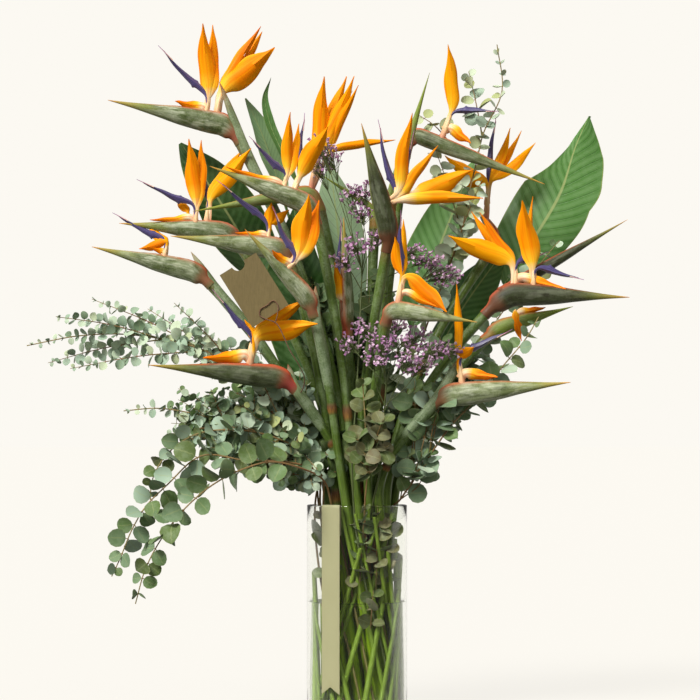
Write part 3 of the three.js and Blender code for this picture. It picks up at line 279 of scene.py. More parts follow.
# Eucalyptus "branches": the main stem from above the rim to its tip, twigs from a point on it, and
# the breadth of the leaves at its root and at its tip. Tones are the range of the leaves' colours, and
# first is the share of the stem that stays bare. A fill is a cloud of short sprigs: its middle, its
# room to each side, their number, and the place that they start from, or else the main stem. Bare
# stems are two ends and a radius.
BRANCHES = {
    "eucalyptus_far_left": {"waist": [-44, -14], "leaf": [15, 10], "tones": (0.5, 0.94),
        "fill": [[(-150, -20, 430), (60, 25, 30), 6]], "main": [[-46, -30, 292], [-85, -35, 339],
        [-134, -22, 401], [-182, -15, 434], [-232, -10, 448], [-283, -15, 454], [-329, -20, 452],
        [-394, -20, 440]], "twigs": [[[-182, -15, 434], [-319, 5, 497]], [[-232, -10, 448],
        [-358, -35, 474]], [[-232, -10, 448], [-371, 0, 420]], [[-182, -15, 434], [-340, -40, 412]],
        [[-134, -22, 401], [-253, 20, 486]], [[-134, -22, 401], [-217, -40, 490]]]},
    "eucalyptus_left": {"waist": [-46, 2], "leaf": [16, 11], "tones": (0.12, 1.0),
        "fill": [[(-130, -30, 380), (65, 25, 24), 10], [(-165, -40, 330), (45, 25, 30), 6],
        [(-215, -35, 366), (50, 15, 16), 7]], "main": [[-53, 3, 292], [-82, -10, 316], [-126, -28, 332],
        [-150, -33, 342], [-178, -35, 355], [-205, -35, 361], [-235, -35, 365], [-277, -35, 362]],
        "twigs": [[[-126, -28, 332], [-214, -10, 389]], [[-150, -33, 342], [-226, -55, 332]]]},
    "eucalyptus_droop_far": {"waist": [-40, -28], "leaf": [25, 24], "tones": (0.1, 0.72), "first": 0.58,
        "main": [[-42, -42, 286], [-85, -62, 302], [-128, -72, 303], [-182, -78, 309], [-221, -80, 276],
        [-249, -80, 247], [-262, -78, 225], [-278, -75, 187], [-287, -74, 168]], "twigs": []},
    "eucalyptus_droop_near": {"waist": [-30, -40], "leaf": [26, 23], "tones": (0.14, 0.5), "first": 0.55,
        "fill": [[(-28, 30, 370), (36, 14, 80), 12, (-14, 26, 268)], [(-6, 34, 450), (34, 14, 50), 9,
        (-8, 32, 290)], [(-50, 42, 505), (16, 12, 40), 14, (-24, 36, 330)], [(26, 36, 500), (22, 10, 40), 6,
        (8, 36, 320)]], "main": [[-38, -54, 278], [-67, -78, 295], [-102, -90, 302], [-132, -96, 294],
        [-164, -98, 278], [-193, -98, 255], [-226, -95, 215], [-246, -92, 178], [-258, -88, 137]],
        "twigs": []},
    "eucalyptus_arch_left": {"waist": [-50, -12], "leaf": [19, 18], "tones": (0.05, 0.8),
        "fill": [[(-150, -60, 325), (55, 22, 38), 8]], "main": [[-47, -20, 297], [-91, -42, 328],
        [-138, -54, 339], [-195, -60, 332], [-228, -64, 305], [-241, -64, 279], [-243, -62, 257]],
        "twigs": []},
    "eucalyptus_cluster_left": {"waist": [-36, 10], "leaf": [17, 14], "tones": (0.12, 1.0),
        "fill": [[(-132, -25, 352), (92, 40, 48), 36], [(-68, -35, 295), (46, 40, 40), 22], [(-80, -15, 395),
        (60, 30, 26), 12]], "main": [[-44, 13, 294], [-68, 8, 328], [-92, -5, 358], [-128, -10, 402]],
        "twigs": [[[-68, 8, 328], [-169, -20, 373]], [[-68, 8, 328], [-69, 20, 410]], [[-68, 8, 328],
        [-160, 30, 346]], [[-44, 13, 294], [-130, 10, 300]]]},
    "eucalyptus_right": {"waist": [44, -22], "leaf": [22, 23], "tones": (0.1, 0.8), "fill": [[(95, -40, 385),
        (40, 20, 35), 5], [(72, -42, 325), (30, 20, 40), 5]], "main": [[51, -40, 257], [66, -42, 280],
        [85, -44, 308], [110, -44, 343], [144, -40, 379], [173, -38, 415], [204, -34, 453], [216, -32, 474]],
        "twigs": []},
    # The top right spray takes only pale tones: painted light, for light shining through leaves that face
    # away from the key.
    "eucalyptus_top_right": {"waist": [28, 18], "leaf": [23, 14], "tones": (0.7, 1.0),
        "main": [[34, 22, 303], [58, 26, 376], [83, 34, 461], [108, 35, 528], [127, 24, 580], [135, 18, 623],
        [146, 18, 669], [152, 20, 695], [176, 20, 751], [170, 20, 807]], "twigs": [[[152, 20, 695],
        [136, 30, 776]], [[112, 30, 690], [76, 30, 722]], [[127, 24, 580], [92, 28, 690]], [[108, 35, 528],
        [150, 0, 640]]]},
    "eucalyptus_right_mid": {"waist": [42, 14], "leaf": [22, 18], "tones": (0.2, 1.0),
        "fill": [[(150, 20, 435), (50, 15, 36), 8], [(40, 38, 345), (48, 18, 70), 14]],
        "main": [[58, 20, 291], [88, 24, 352], [118, 26, 400], [145, 28, 438], [190, 30, 474]],
        "twigs": [[[145, 28, 438], [245, 20, 569]], [[118, 26, 400], [99, 10, 453]], [[118, 26, 400],
        [171, 10, 381]]]},
    "eucalyptus_inside": {"waist": [9, -47], "leaf": [18, 20], "tones": (0.0, 0.2), "fill": [[(18, -78, 325),
        (36, 22, 50), 8]], "main": [[12, -56, 292], [10, -68, 340], [6, -76, 400]],
        "twigs": [[[12, -56, 292], [30, -100, 352]], [[2, -42, 140], [9, -48, 252]], [[22, -38, 150],
        [24, -44, 246]], [[32, -28, 140], [37, -32, 236]], [[-34, -26, 150], [-42, -22, 244]],
        [[14, -42, 96], [19, -46, 150]]], "bare": [[[-40, -26, 14], [28, -44, 246], 2.4], [[34, -38, 14],
        [-20, -46, 248], 3.0], [[-22, -48, 14], [42, -30, 240], 3.4], [[46, -26, 14], [-2, -52, 240], 2.2],
        [[8, -52, 14], [46, -14, 246], 3.6], [[-46, -20, 14], [4, -52, 200], 3.0], [[50, -10, 14],
        [20, -48, 236], 2.6], [[-8, -52, 14], [-36, -36, 130], 3.2], [[42, -30, 14], [51, -6, 190], 3.6],
        [[26, -44, 14], [49, -20, 150], 3.4], [[51, 8, 14], [44, -28, 210], 3.2], [[36, -38, 14],
        [53, 4, 186], 3.6], [[52, -4, 14], [36, -38, 196], 3.0], [[-42, -30, 14], [-51, -8, 170], 3.4],
        [[-26, -44, 14], [-50, -14, 140], 3.2]]},
}

# Sea "lavender": the main stem, and the places of its small heads on fine stalks.
LAVENDER = {
    "lavender_low": {"waist": [18, -44], "main": [[27, -60, 292], [31, -70, 351], [34, -78, 392]],
        "heads": [[-8, -60, 439], [9, -66, 457], [27, -90, 435], [50, -80, 439], [69, -70, 447],
        [88, -76, 431], [104, -66, 433], [46, -62, 462], [73, -86, 412], [20, -92, 418], [59, -94, 418]]},
    "lavender_high": {"waist": [-4, -50], "main": [[-6, -52, 292], [-1, -48, 375], [3, -40, 458],
        [6, -30, 530]], "heads": [[-42, 0, 679], [-31, 4, 667], [-46, 2, 655], [-6, -10, 619], [5, -14, 599],
        [11, -6, 625], [0, -40, 555], [-14, -44, 537], [82, -40, 539], [95, -36, 529], [108, -30, 522],
        [67, -44, 548], [25, -34, 565]]},
}

# The "twine": a loop in front of the tag, then down to a stalk.
TWINE = [
    [-95, -99.2, 465], [-92.6, -98, 475], [-92.8, -97.3, 485], [-97.3, -97.3, 489.5], [-105.4, -97.3, 484],
    [-113, -97.3, 479], [-113.7, -97.3, 473], [-106, -97.3, 468], [-96, -97.3, 464.5], [-85, -96.5, 446.5],
    [-80, -95, 435], [-67, -86, 413], [-62, -76, 401], [-63, -66, 390], [-67, -56.6, 382],
]


def unit(v):
    """Vectors brought to the length 1."""
    return v / np.maximum(np.linalg.norm(v, axis=-1, keepdims=True), 1e-12)


def steps_of(points):
    """The length of each step from a point to the next."""
    return np.linalg.norm(np.diff(points, axis=0), axis=1)


def shares_of(points):
    """Each point's share of the way along."""
    steps = steps_of(points)
    return np.concatenate([[0], np.cumsum(steps)]) / steps.sum()


def spaced_path(points, steps):
    """A smooth curve through the points, at even steps.

    Between two points it is the cubic whose slope at each is the mean of the slopes on its two
    sides, each weighted by the length of the other side.
    """
    p = np.asarray(points, float)
    h = steps_of(p)
    knots = np.concatenate([[0], np.cumsum(h)])
    slope = np.diff(p, axis=0) / h[:, None]
    inner = (slope[:-1] * h[1:, None] + slope[1:] * h[:-1, None]) / (h[:-1] + h[1:])[:, None]
    m = np.vstack([slope[:1], inner, slope[-1:]])
    u = np.linspace(0, knots[-1], steps)
    k = np.clip(np.searchsorted(knots, u, "right") - 1, 0, len(h) - 1)
    x = ((u - knots[k]) / h[k])[:, None]
    w = h[k][:, None]
    return (
        (2 * x**3 - 3 * x**2 + 1) * p[k]
        + (x**3 - 2 * x**2 + x) * w * m[k]
        + (3 * x**2 - 2 * x**3) * p[k + 1]
        + (x**3 - x**2) * w * m[k + 1]
    )


def eased(x, knots, values):
    """The smooth curve through (knots, values), read at each x."""
    spots = spaced_path(np.column_stack([knots, values]), 240)
    return np.interp(x, spots[:, 0], spots[:, 1])


def frames(points, up):
    """The way along a path, the side (up x along) and the lift (along x side), at each point."""
    along = unit(np.gradient(points, axis=-2))
    side = unit(np.cross(np.broadcast_to(up, along.shape), along))
    return along, side, np.cross(along, side)


def turned(side, lift, angle):
    """Side and lift turned about the way along, from side towards lift."""
    c, s = np.cos(angle)[..., None], np.sin(angle)[..., None]
    return side * c + lift * s, lift * c - side * s


def rings(points, side, lift, across, high):
    """Ring points: the path's point plus side times across plus lift times high."""
    return (
        points[..., None, :]
        + side[..., None, :] * across[..., None]
        + lift[..., None, :] * high[..., None]
    )


def tube(points, radii, around, up=BACK):
    """Circles about a path: radius times the cosine along the side, and times the sine along the lift."""
    _, side, lift = frames(points, up)
    turn = TAU * np.arange(around) / around
    radii = np.broadcast_to(radii, points.shape[:-1])[..., None]
    return rings(points, side, lift, radii * np.cos(turn), radii * np.sin(turn))


def around_place(around):
    """Even places round a ring, from 0 to 1, with the first one again at the end."""
    return np.linspace(0, 1, around + 1)


def edge_spread(count):
    """Places across a blade, from one edge to the other, closer together at both edges."""
    return np.sin(np.pi / 2 * np.linspace(1, -1, count))


def blade_place(s):
    """The place round a blade's section: the upper face from 0 to 1/2, the lower from 1/2 to 1."""
    return np.concatenate([(1 - s) / 4, (3 + s[-2:0:-1]) / 4, [1.0]])


def blade(points, side, lift, half, fold, thick, s, swell=0.0):
    """A closed blade about a path, bent into an arc across.

    At s across, from 1 to -1, a point lies half·sin(s·fold)/fold along the side and
    half·(1-cos(s·fold))/fold along the lift, then half the thickness times the square root of
    (1-s²) off that arc, plus the swell, which moves both faces alike. Half may differ across.
    """
    half = np.asarray(half, float)
    half = half[..., None] if half.ndim < points.ndim else half
    fold = np.broadcast_to(np.asarray(fold, float), points.shape[:-1])[..., None]
    fold = np.where(np.abs(fold) < 1e-3, 1e-3, fold)
    bend = s * fold
    room = np.asarray(thick, float) / 2 * np.sqrt(np.clip(1 - s**2, 0, 1))
    across, high = half * np.sin(bend) / fold, half * (1 - np.cos(bend)) / fold
    upper, lower = (
        rings(points, side, lift, across - off * np.sin(bend), high + off * np.cos(bend))
        for off in (swell + room, swell - room)
    )
    return np.concatenate([upper, lower[..., -2:0:-1, :]], axis=-2)


class Skin:
    """Closed skins of ring points, gathered into one mesh with a place map and a tone."""

    def __init__(self):
        self.co, self.tone, self.quads, self.tris = [], [], [], []
        self.quad_uv, self.tri_uv, self.quad_slot, self.tri_slot = [], [], [], []
        self.count = 0

    def add(self, points, q, v=None, slot=0, tone=0.5):
        """Adds stacks of rings. Each ring turns from the side to the lift, so its faces point out."""
        rows, around = points.shape[-3:-1]
        points = points.reshape(-1, rows, around, 3)
        number = len(points)
        v = np.linspace(0, 1, rows) if v is None else v
        ids = self.count + np.arange(number * rows * around).reshape(number, rows, around)
        turn = np.roll(ids, -1, axis=2)
        first = self.count + number * rows * around + np.arange(number)
        last = first + number
        quads = np.stack([ids[:, :-1], turn[:, :-1], turn[:, 1:], ids[:, 1:]], -1)
        root = np.stack([np.broadcast_to(first[:, None], turn[:, 0].shape), turn[:, 0], ids[:, 0]], -1)
        tip = np.stack([np.broadcast_to(last[:, None], turn[:, -1].shape), ids[:, -1], turn[:, -1]], -1)
        grid_q, grid_v = np.meshgrid(q, v)
        uv = np.stack([grid_q, grid_v], -1)
        quad_uv = np.stack([uv[:-1, :-1], uv[:-1, 1:], uv[1:, 1:], uv[1:, :-1]], 2)
        middle = (uv[:, :-1] + uv[:, 1:]) / 2
        root_uv = np.stack([middle[0], uv[0, 1:], uv[0, :-1]], 1)
        tip_uv = np.stack([middle[-1], uv[-1, :-1], uv[-1, 1:]], 1)
        self.co += [points.reshape(-1, 3), points[:, 0].mean(1), points[:, -1].mean(1)]
        tones = np.broadcast_to(np.asarray(tone, float), (number,))
        self.tone += [np.repeat(tones, rows * around), tones, tones]
        self.quads.append(quads.reshape(-1, 4))
        self.tris += [root.reshape(-1, 3), tip.reshape(-1, 3)]
        self.quad_uv.append(np.tile(quad_uv.reshape(-1, 2), (number, 1)))
        self.tri_uv += [np.tile(part.reshape(-1, 2), (number, 1)) for part in (root_uv, tip_uv)]
        self.quad_slot.append(np.full(number * (rows - 1) * around, slot))
        self.tri_slot.append(np.full(2 * number * around, slot))
        self.count += number * (rows * around + 2)

    def tube(self, points, radii, around, v, slot, tone=0.5, up=BACK):
        """Adds circles about a path."""
        self.add(tube(points, radii, around, up), around_place(around), v, slot, tone)

    def blade(self, points, side, lift, half, fold, thick, s, v, slot, tone, swell=0.0):
        """Adds a closed blade about a path."""
        self.add(blade(points, side, lift, half, fold, thick, s, swell), blade_place(s), v, slot, tone)

    def make(self, name, materials):
        """One object of all the skins, in metres."""
        mesh = bpy.data.meshes.new(name)
        co = np.concatenate(self.co) * MM
        quads, tris = np.concatenate(self.quads), np.concatenate(self.tris)
        loops = np.concatenate([quads.ravel(), tris.ravel()])
        starts = np.concatenate([4 * np.arange(len(quads)), 4 * len(quads) + 3 * np.arange(len(tris))])
        mesh.vertices.add(len(co))
        mesh.vertices.foreach_set("co", co.astype(np.float32).ravel())
        mesh.loops.add(len(loops))
        mesh.loops.foreach_set("vertex_index", loops.astype(np.int32))
        mesh.polygons.add(len(starts))
        mesh.polygons.foreach_set("loop_start", starts.astype(np.int32))
        slots = np.concatenate(self.quad_slot + self.tri_slot)
        mesh.polygons.foreach_set("material_index", slots.astype(np.int32))
        mesh.update(calc_edges=True)
        place = mesh.uv_layers.new(name="place")
        uv = np.concatenate(self.quad_uv + self.tri_uv)
        place.uv.foreach_set("vector", uv.astype(np.float32).ravel())
        tone = mesh.attributes.new("tone", "FLOAT", "POINT")
        tone.data.foreach_set("value", np.concatenate(self.tone).astype(np.float32))
        mesh.shade_smooth()
        mesh.set_sharp_from_angle(angle=SHARP_EDGE)
        for material in materials:
            mesh.materials.append(material)
        piece = bpy.data.objects.new(name, mesh)
        bpy.context.scene.collection.objects.link(piece)
        return piece


def settle(piece, slot, *nodes):
    """Fixes a piece to the arrangement, for the CAD nodes that it stands for."""
    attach(piece, BODY)
    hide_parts(*nodes)
    return piece


def ruling(waist, height):
    """The two ends of a stem's straight stretch: its cut end, and its place at the rim."""
    c, s = math.cos(STEM_TURN), math.sin(STEM_TURN)
    foot = [waist[0] * c - waist[1] * s, waist[0] * s + waist[1] * c, CUT_END]
    return np.array(foot), np.array([*waist, height], float)


def stem_path(waist, end, arrival, height, low=12, high=30):
    """A stem: straight from its cut end to the rim, then a cubic that leaves the rim along the
    straight stretch and arrives at the end along its arrival, with handles a share of the reach."""
    foot, rim = ruling(waist, height)
    reach = np.linalg.norm(end - rim)
    a = rim + unit(rim - foot) * reach * BEND_SHARE
    b = end - arrival * reach * BEND_SHARE
    t = np.linspace(0, 1, high)[:, None]
    curve = (1 - t) ** 3 * rim + 3 * (1 - t) ** 2 * t * a + 3 * (1 - t) * t**2 * b + t**3 * end
    return np.vstack([np.linspace(foot, rim, low)[:-1], curve])


def arrival_at(waist, end, height):
    """The way into a flower head leans further out than the line from the rim does."""
    lean = (end[:2] - np.array(waist)) * ARRIVAL_LEAN
    return unit(np.array([*lean, end[2] - height]))


def spot(place):
    """A place, or a row of places, as an array."""
    return np.array(place, float)


def flower_stem(skin, flower, look, height, dice):
    """The stalk with its papery nodes, the spathe or spathes, and the bract below the head."""
    neck, tip = spot(flower["neck"]), spot(flower["tip"])
    end = neck + 0.04 * (tip - neck)
    path = stem_path(flower["waist"], end, arrival_at(flower["waist"], end, height), height, high=STALK_ROWS)
    share = np.linspace(0, 1, len(path))
    radii = look.stalk_radius / MM * (1 - 0.15 * np.sin(np.pi * share) ** 2)
    radii = radii + (look.neck_radius - look.stalk_radius) / MM * share**3
    reach = flower.get("reach", NECK_REACH)
    keep = np.linalg.norm(path - path[-1], axis=1) > reach
    skin.tube(path[keep], radii[keep], STALK_AROUND, share[keep], STALK, dice.random())
    start = path[keep][-2]
    cuff(skin, path, radii, dice.choice(NODE_SHARES) + dice.uniform(-0.02, 0.02), dice)
    hubs = [floret["hub"] for floret in flower["florets"]]
    rise = np.mean(hubs, axis=0) - neck if hubs else UP
    depth = flower.get("depth", min(look.spathe_depth / MM, np.linalg.norm(tip - neck) * 0.15 + 6))
    tone = flower.get("tone", dice.random())
    spathe(skin, start, end, tip, rise, depth, look, bool(hubs), tone)
    if "second" in flower:
        second = spot(flower["second"])
        spathe(skin, neck, neck + 0.1 * (second - neck), second, UP, SECOND_DEPTH, look, False, tone)
    if "sheath" in flower:
        bract(skin, path, radii, spot(flower["sheath"]), dice)


def cuff(skin, path, radii, middle, dice):
    """A papery node: a short sleeve round the stalk whose radius swells by the square of a sine."""
    t = np.linspace(-0.5, 0.5, 9)
    share = np.linspace(0, 1, len(path))
    at = middle + t * CUFF_SHARE
    points = np.stack([np.interp(at, share, path[:, k]) for k in range(3)], -1)
    room = np.interp(at, share, radii) + 0.15 + 0.9 * np.sin(np.pi * (t + 0.5)) ** 2
    skin.tube(points, room, STALK_AROUND, None, CUFF, dice.random())


def spathe(skin, start, neck, tip, rise, depth, look, is_open, tone):
    """A horn that bends out of the stalk, is deepest just past the bend and is drawn out to the tip.

    Its middle line is a parabola round the neck and then straight. Its ring is half the breadth
    times the sine across, narrowed towards the top, and half the depth times the cosine high.
    Where it is open, a groove parts the two lips along the top.
    """
    way = tip - neck
    length = np.linalg.norm(way)
    beyond = neck + way * min(NECK_REACH / length, 0.17)
    t = np.linspace(0, 1, 14)[:-1, None]
    bend = (1 - t) ** 2 * start + 2 * (1 - t) * t * neck + t**2 * beyond
    t = np.sin(np.pi / 2 * np.linspace(0, 1, SPATHE_ROWS))[:, None]
    points = np.vstack([bend, beyond + t * (tip - beyond)])
    share = shares_of(points)
    along = unit(np.gradient(points, axis=0))
    side = unit(np.cross(rise, way))
    side = unit(side - along * (along @ side)[:, None])
    lift = np.cross(along, side)
    q = np.arange(SPATHE_AROUND) / SPATHE_AROUND
    high, wide = np.cos(TAU * q), -np.sin(TAU * q)
    neck_radius = look.neck_radius / MM
    half_depth = np.maximum(depth / 2 * eased(share, *SPATHE_DEPTHS), neck_radius * eased(share, *NECK_FADE))
    half_wide = look.spathe_breadth / look.spathe_depth * depth / 2 * eased(share, *SPATHE_BREADTHS)
    half_wide = np.maximum(half_wide, neck_radius * eased(share, *NECK_FADE))
    keel = 1 - 0.4 * eased(share, [0, 0.2, 1], [0, 1, 1])[:, None] * np.clip(high, 0, 1) ** 2
    gap = eased(share, *SPATHE_GAP) if is_open else 0 * share
    groove = np.exp(-((np.minimum(q, 1 - q) / 0.024) ** 2))
    deep = half_depth[:, None] * high - gap[:, None] * 0.2 * depth * groove
    horn = rings(points, side, lift, half_wide[:, None] * wide * keel, deep)
    skin.add(horn, around_place(SPATHE_AROUND), share, SPATHE, tone)


def bract(skin, path, radii, tip, dice):
    """A pointed sheath that is wrapped round the stalk at its root and stands off it at its tip."""
    k = len(path) - 1
    stalk_way = unit(path[k - 4] - path[k - 10])
    out = unit(tip - path[k - 8]) * 0.6 - BACK
    out = unit(out - stalk_way * (out @ stalk_way))
    hold = k - np.array([26, 19, 12, 8])
    room = radii[hold] + [-0.4, 0.5, 0.9, 1.2]
    points = spaced_path(np.vstack([path[hold] + out * room[:, None], tip]), BRACT_ROWS)
    t = np.linspace(0, 1, BRACT_ROWS)
    fold = 2.3 - 1.8 * t
    wide = np.interp(t, [0, 0.15, 0.5, 1], np.mean(radii[hold]) + np.array([-0.4, 0.6, 1.2, 2.6]))
    half = np.maximum(fold, 1) * wide * (1 - t**6) + 0.15
    _, side, lift = frames(points, -out)
    skin.blade(points, side, lift, half, fold, 0.9, edge_spread(11), t, BRACT, dice.random())


def lance(skin, root, hub, tip, breadth, turn, shares, look, slot, dice, fold=1.0, tone=None):
    """A petal: a narrow claw from its root to the hub, and a lance-shaped blade from there to its tip.

    It is bowed, folded along its length and turned about it.
    """
    way = tip - hub
    points = spaced_path(np.stack([root, hub + 0.08 * way, hub + 0.5 * way, tip]), PETAL_ROWS)
    t = np.linspace(0, 1, PETAL_ROWS)
    length = np.linalg.norm(way)
    claw = np.linalg.norm(hub - root)
    blade_share = np.clip((t * (length + claw) - claw) / length, 0, 1)
    _, side, lift = frames(points, BACK)
    angle = np.radians(turn) + 0.25 * (dice.random() - 0.5) * t
    side, lift = turned(side, lift, angle)
    bow = 0.05 * length * np.sin(np.pi * blade_share)
    sway = 0.03 * (dice.random() - 0.5) * length * np.sin(np.pi * blade_share) * (0.4 + t)
    points = points + lift * bow[:, None] + side * sway[:, None]
    half = breadth * PETAL_FULLNESS / 2 * eased(blade_share, *shares)
    s = edge_spread(9)
    ripple = 0.06 * breadth * np.sin(TAU * (2.2 * t[:, None] + dice.random())) * s**3
    ripple = ripple - 0.07 * breadth * np.exp(-((s / 0.25) ** 2)) * np.sin(np.pi * blade_share[:, None])
    tone = dice.random() if tone is None else tone
    skin.blade(points, side, lift, half, fold, look.petal_thickness / MM, s, t, slot, tone, ripple)


def on_spathe(flower, point):
    """The nearest point of the spathe's middle line, between its neck and its middle."""
    neck = spot(flower["neck"])
    way = spot(flower["tip"]) - neck
    return neck + way * np.clip((point - neck) @ way / (way @ way), 0.08, 0.5)


def flower_petals(skin, flower, look, _, dice):
    """Each floret: a pale base out of the spathe, orange sepals, and the blue petals as an arrow."""
    for floret in flower["florets"]:
        hub = spot(floret["hub"])
        root = on_spathe(flower, hub)
        claw = hub + (root - hub) * min(0.95, CLAW_REACH / np.linalg.norm(hub - root))
        head = root + 0.82 * (hub - root)
        t = np.linspace(0, 1, 12)
        radii = FLORET_RADIUS * eased(t, [0, 0.3, 0.6, 0.8, 1], [1.0, 1.05, 0.8, 0.5, 0.1])
        skin.tube(root + t[:, None] * (head - root), radii, 12, t, FLORET_BASE, dice.random())
        for *tip, breadth, turn in floret["sepals"]:
            root = claw + dice.normal(0, 1.2, 3)
            # Glow sets the sepals' tone, and the lighter yellow it gives is partly painted light.
            lance(skin, root, hub, spot(tip), breadth, turn, SEPAL_SHARES, look, SEPAL, dice,
                  tone=flower.get("glow"))
        if "arrow" in floret:
            tip = spot(floret["arrow"])
            lance(skin, claw, hub, tip, look.arrow_barb / MM, 15, ARROW_SHARES, look, ARROW, dice, 1.5)
            stigma = hub + np.outer([0.8, 1.0, 1.12], tip - hub)
            skin.tube(spaced_path(stigma, 10), np.linspace(0.7, 0.3, 10), 6, None, STIGMA, dice.random())
    if "low" in flower:
        hub = spot(flower["florets"][0]["hub"])
        root = on_spathe(flower, hub)
        *tip, breadth = flower["low"]
        lance(skin, root + 0.4 * (hub - root), root + 0.52 * (hub - root), spot(tip), breadth, 12,
              LOW_SHARES, look, SEPAL, dice, 1.2, 0.0)


def big_leaf(skin, leaf, look, height, dice):
    """A leaf blade on its petiole, widest below its middle and drawn out to a long point.

    The blade is folded a little towards the front, quilted between its side veins by a cosine, and
    thickened to a rib along the middle.
    """
    points = spaced_path(leaf["spine"], LEAF_ROWS)
    t = np.linspace(0, 1, LEAF_ROWS)
    along, side, lift = frames(points, BACK)
    start = points[LEAF_ROWS // 7]
    petiole = stem_path(leaf["waist"], start, along[0], height)
    skin.tube(petiole, np.linspace(2.6, 1.7, len(petiole)), 10, None, PETIOLE, dice.random())
    side, lift = turned(side, lift, np.radians(leaf["turn"]) + 0.15 * np.sin(TAU * t * 0.8))
    s = LEAF_ACROSS
    lean = np.interp(t, [0.55, 0.82], leaf.get("lean", (0, 0)))[:, None]
    half = leaf["breadth"] / 2 * eased(t, *leaf.get("shares", LEAF_SHARES))[:, None] * (1 + lean * s)
    phase = look.vein_count * t[:, None] - look.vein_sweep * np.abs(s)
    quilt = 0.22 * np.cos(TAU * phase) * (1 - s**4) * np.minimum(np.abs(s) / 0.15, 1)
    wave = 0.05 * leaf["breadth"] * np.sin(TAU * (1.7 * t[:, None] + dice.random() + 0.1 * np.sign(s))) * s**2
    thick = look.leaf_thickness / MM + 1.9 * np.exp(-((s / 0.035) ** 2)) * (1.05 - t[:, None])
    skin.blade(points, side, lift, half, leaf.get("fold", -0.5), thick, s, t, LEAF, leaf.get("tone", 0.2),
               quilt + wave)


def spots_along(path, shares):
    """Points and ways at shares of a path's length."""
    run = shares_of(path)
    way = np.gradient(path, axis=0)
    points = np.stack([np.interp(shares, run, path[:, k]) for k in range(3)], -1)
    return points, unit(np.stack([np.interp(shares, run, way[:, k]) for k in range(3)], -1))


def round_leaves(skin, path, first, breadths, look, dice, tones=(0.0, 1.0)):
    """Pairs of round leaves along a stem, each pair turned a right angle from the last.

    A leaf's half breadth is that of a circle, a little fuller towards its tip, and it is cupped
    across and bowed along. Its face leans towards the front, along the stem and to a random side.
    """
    spacing = look.pair_spacing * (breadths[0] + breadths[1]) / 2
    pairs = max(int(steps_of(path).sum() * (1 - first) / spacing), 2)
    shares = np.repeat(first + (0.995 - first) * (np.arange(pairs) + 0.5) / pairs, 2)
    points, along = spots_along(path, shares)
    side = unit(np.cross(BACK, along))
    lift = np.cross(along, side)
    number = 2 * pairs
    angle = np.pi / 2 * np.repeat(np.arange(pairs), 2) + np.pi * (np.arange(number) % 2)
    angle = angle + dice.normal(0, 0.35, number) + 0.5
    out = side * np.cos(angle)[:, None] + lift * np.sin(angle)[:, None]
    forward = along * dice.uniform(0.1, 0.7, number)[:, None]
    out = unit(out * [1, 0.75, 1] + forward + dice.normal(0, 0.2, (number, 3)))
    face = -BACK * 0.85 + along * dice.uniform(0, 0.8, number)[:, None] + UP * 0.4
    face = face + dice.normal(0, 0.45, (number, 3))
    normal = unit(face - out * (face * out).sum(1)[:, None])
    wide = np.cross(normal, out)
    fade = (shares - first) / (1 - first)
    size = (breadths[0] + (breadths[1] - breadths[0]) * fade) * dice.uniform(0.82, 1.18, number)
    size = size * np.clip(3.2 * (1.1 - fade), 0.55, 1)
    t = ROUND_LEAF_ALONG
    reach = size[:, None] * (0.12 + 0.96 * t)
    bow = dice.uniform(-0.14, 0.14, number)[:, None] * size[:, None] * (4 * (t - 0.5) ** 2 - 1)
    line = points[:, None] + out[:, None] * reach[..., None] + normal[:, None] * bow[..., None]
    wide, normal = (np.broadcast_to(way[:, None], line.shape) for way in (wide, normal))
    s = np.array([1, 0.5, -0.5, -1.0])
    fold = np.repeat(dice.uniform(0.1, 0.8, number)[:, None], len(t), axis=1)
    half = size[:, None] / 2 * ROUND_LEAF_HALF
    skin.blade(line, wide, normal, half, fold, look.round_leaf_thickness / MM, s, t, ROUND_LEAF,
               dice.uniform(*tones, number))
    petiole = np.linspace(points, points + out * size[:, None] * 0.16, 3, axis=1)
    skin.tube(petiole, 0.45, 4, None, TWIG)


def sprig(skin, points, radius, first, breadths, look, dice, tones=(0.0, 1.0)):
    """A thin stem through the points, with its pairs of round leaves."""
    path = spaced_path(points, max(int(steps_of(points).sum() / 7), 8))
    skin.tube(path, np.linspace(radius, radius * 0.4, len(path)), 6, None, TWIG, dice.random())
    round_leaves(skin, path, first, breadths, look, dice, tones)


def branch(skin, form, look, height, dice):
    """A eucalyptus branch: its main stem, its twigs, and short side sprigs that fill it out."""
    foot, rim = ruling(form["waist"], height)
    main = spot(form["main"])
    stem = np.vstack([foot, rim, main])
    lengths = steps_of(stem)
    first = form.get("first", (lengths[:2].sum() + 8) / lengths.sum())
    tones = form.get("tones", (0.0, 1.0))
    sprig(skin, stem, 1.6, first, form["leaf"], look, dice, tones)
    for start, end, width in form.get("bare", ()):
        line = spaced_path([start, end], 24)
        skin.tube(line, np.linspace(width, width * 0.8, 24), 8, None, TWIG, 0.0)
    for start, end in form["twigs"]:
        start, end = spot(start), spot(end)
        middle = (start + end) / 2 + UP * 4
        sprig(skin, np.stack([start, middle, end]), 0.9, 0.12, form["leaf"], look, dice, tones)
    for centre, room, count, *root in form.get("fill", ()):
        for _ in range(count):
            start = spot(root[0]) if root else main[dice.integers(0, max(len(main) // 2, 1))]
            end = np.array(centre) + np.array(room) * unit(dice.normal(0, 1, 3)) * dice.random() ** 0.4
            middle = (start + end) / 2 + dice.normal(0, 5, 3)
            sprig(skin, np.stack([start, middle, end]), 0.8, 0.35, form["leaf"], look, dice, tones)


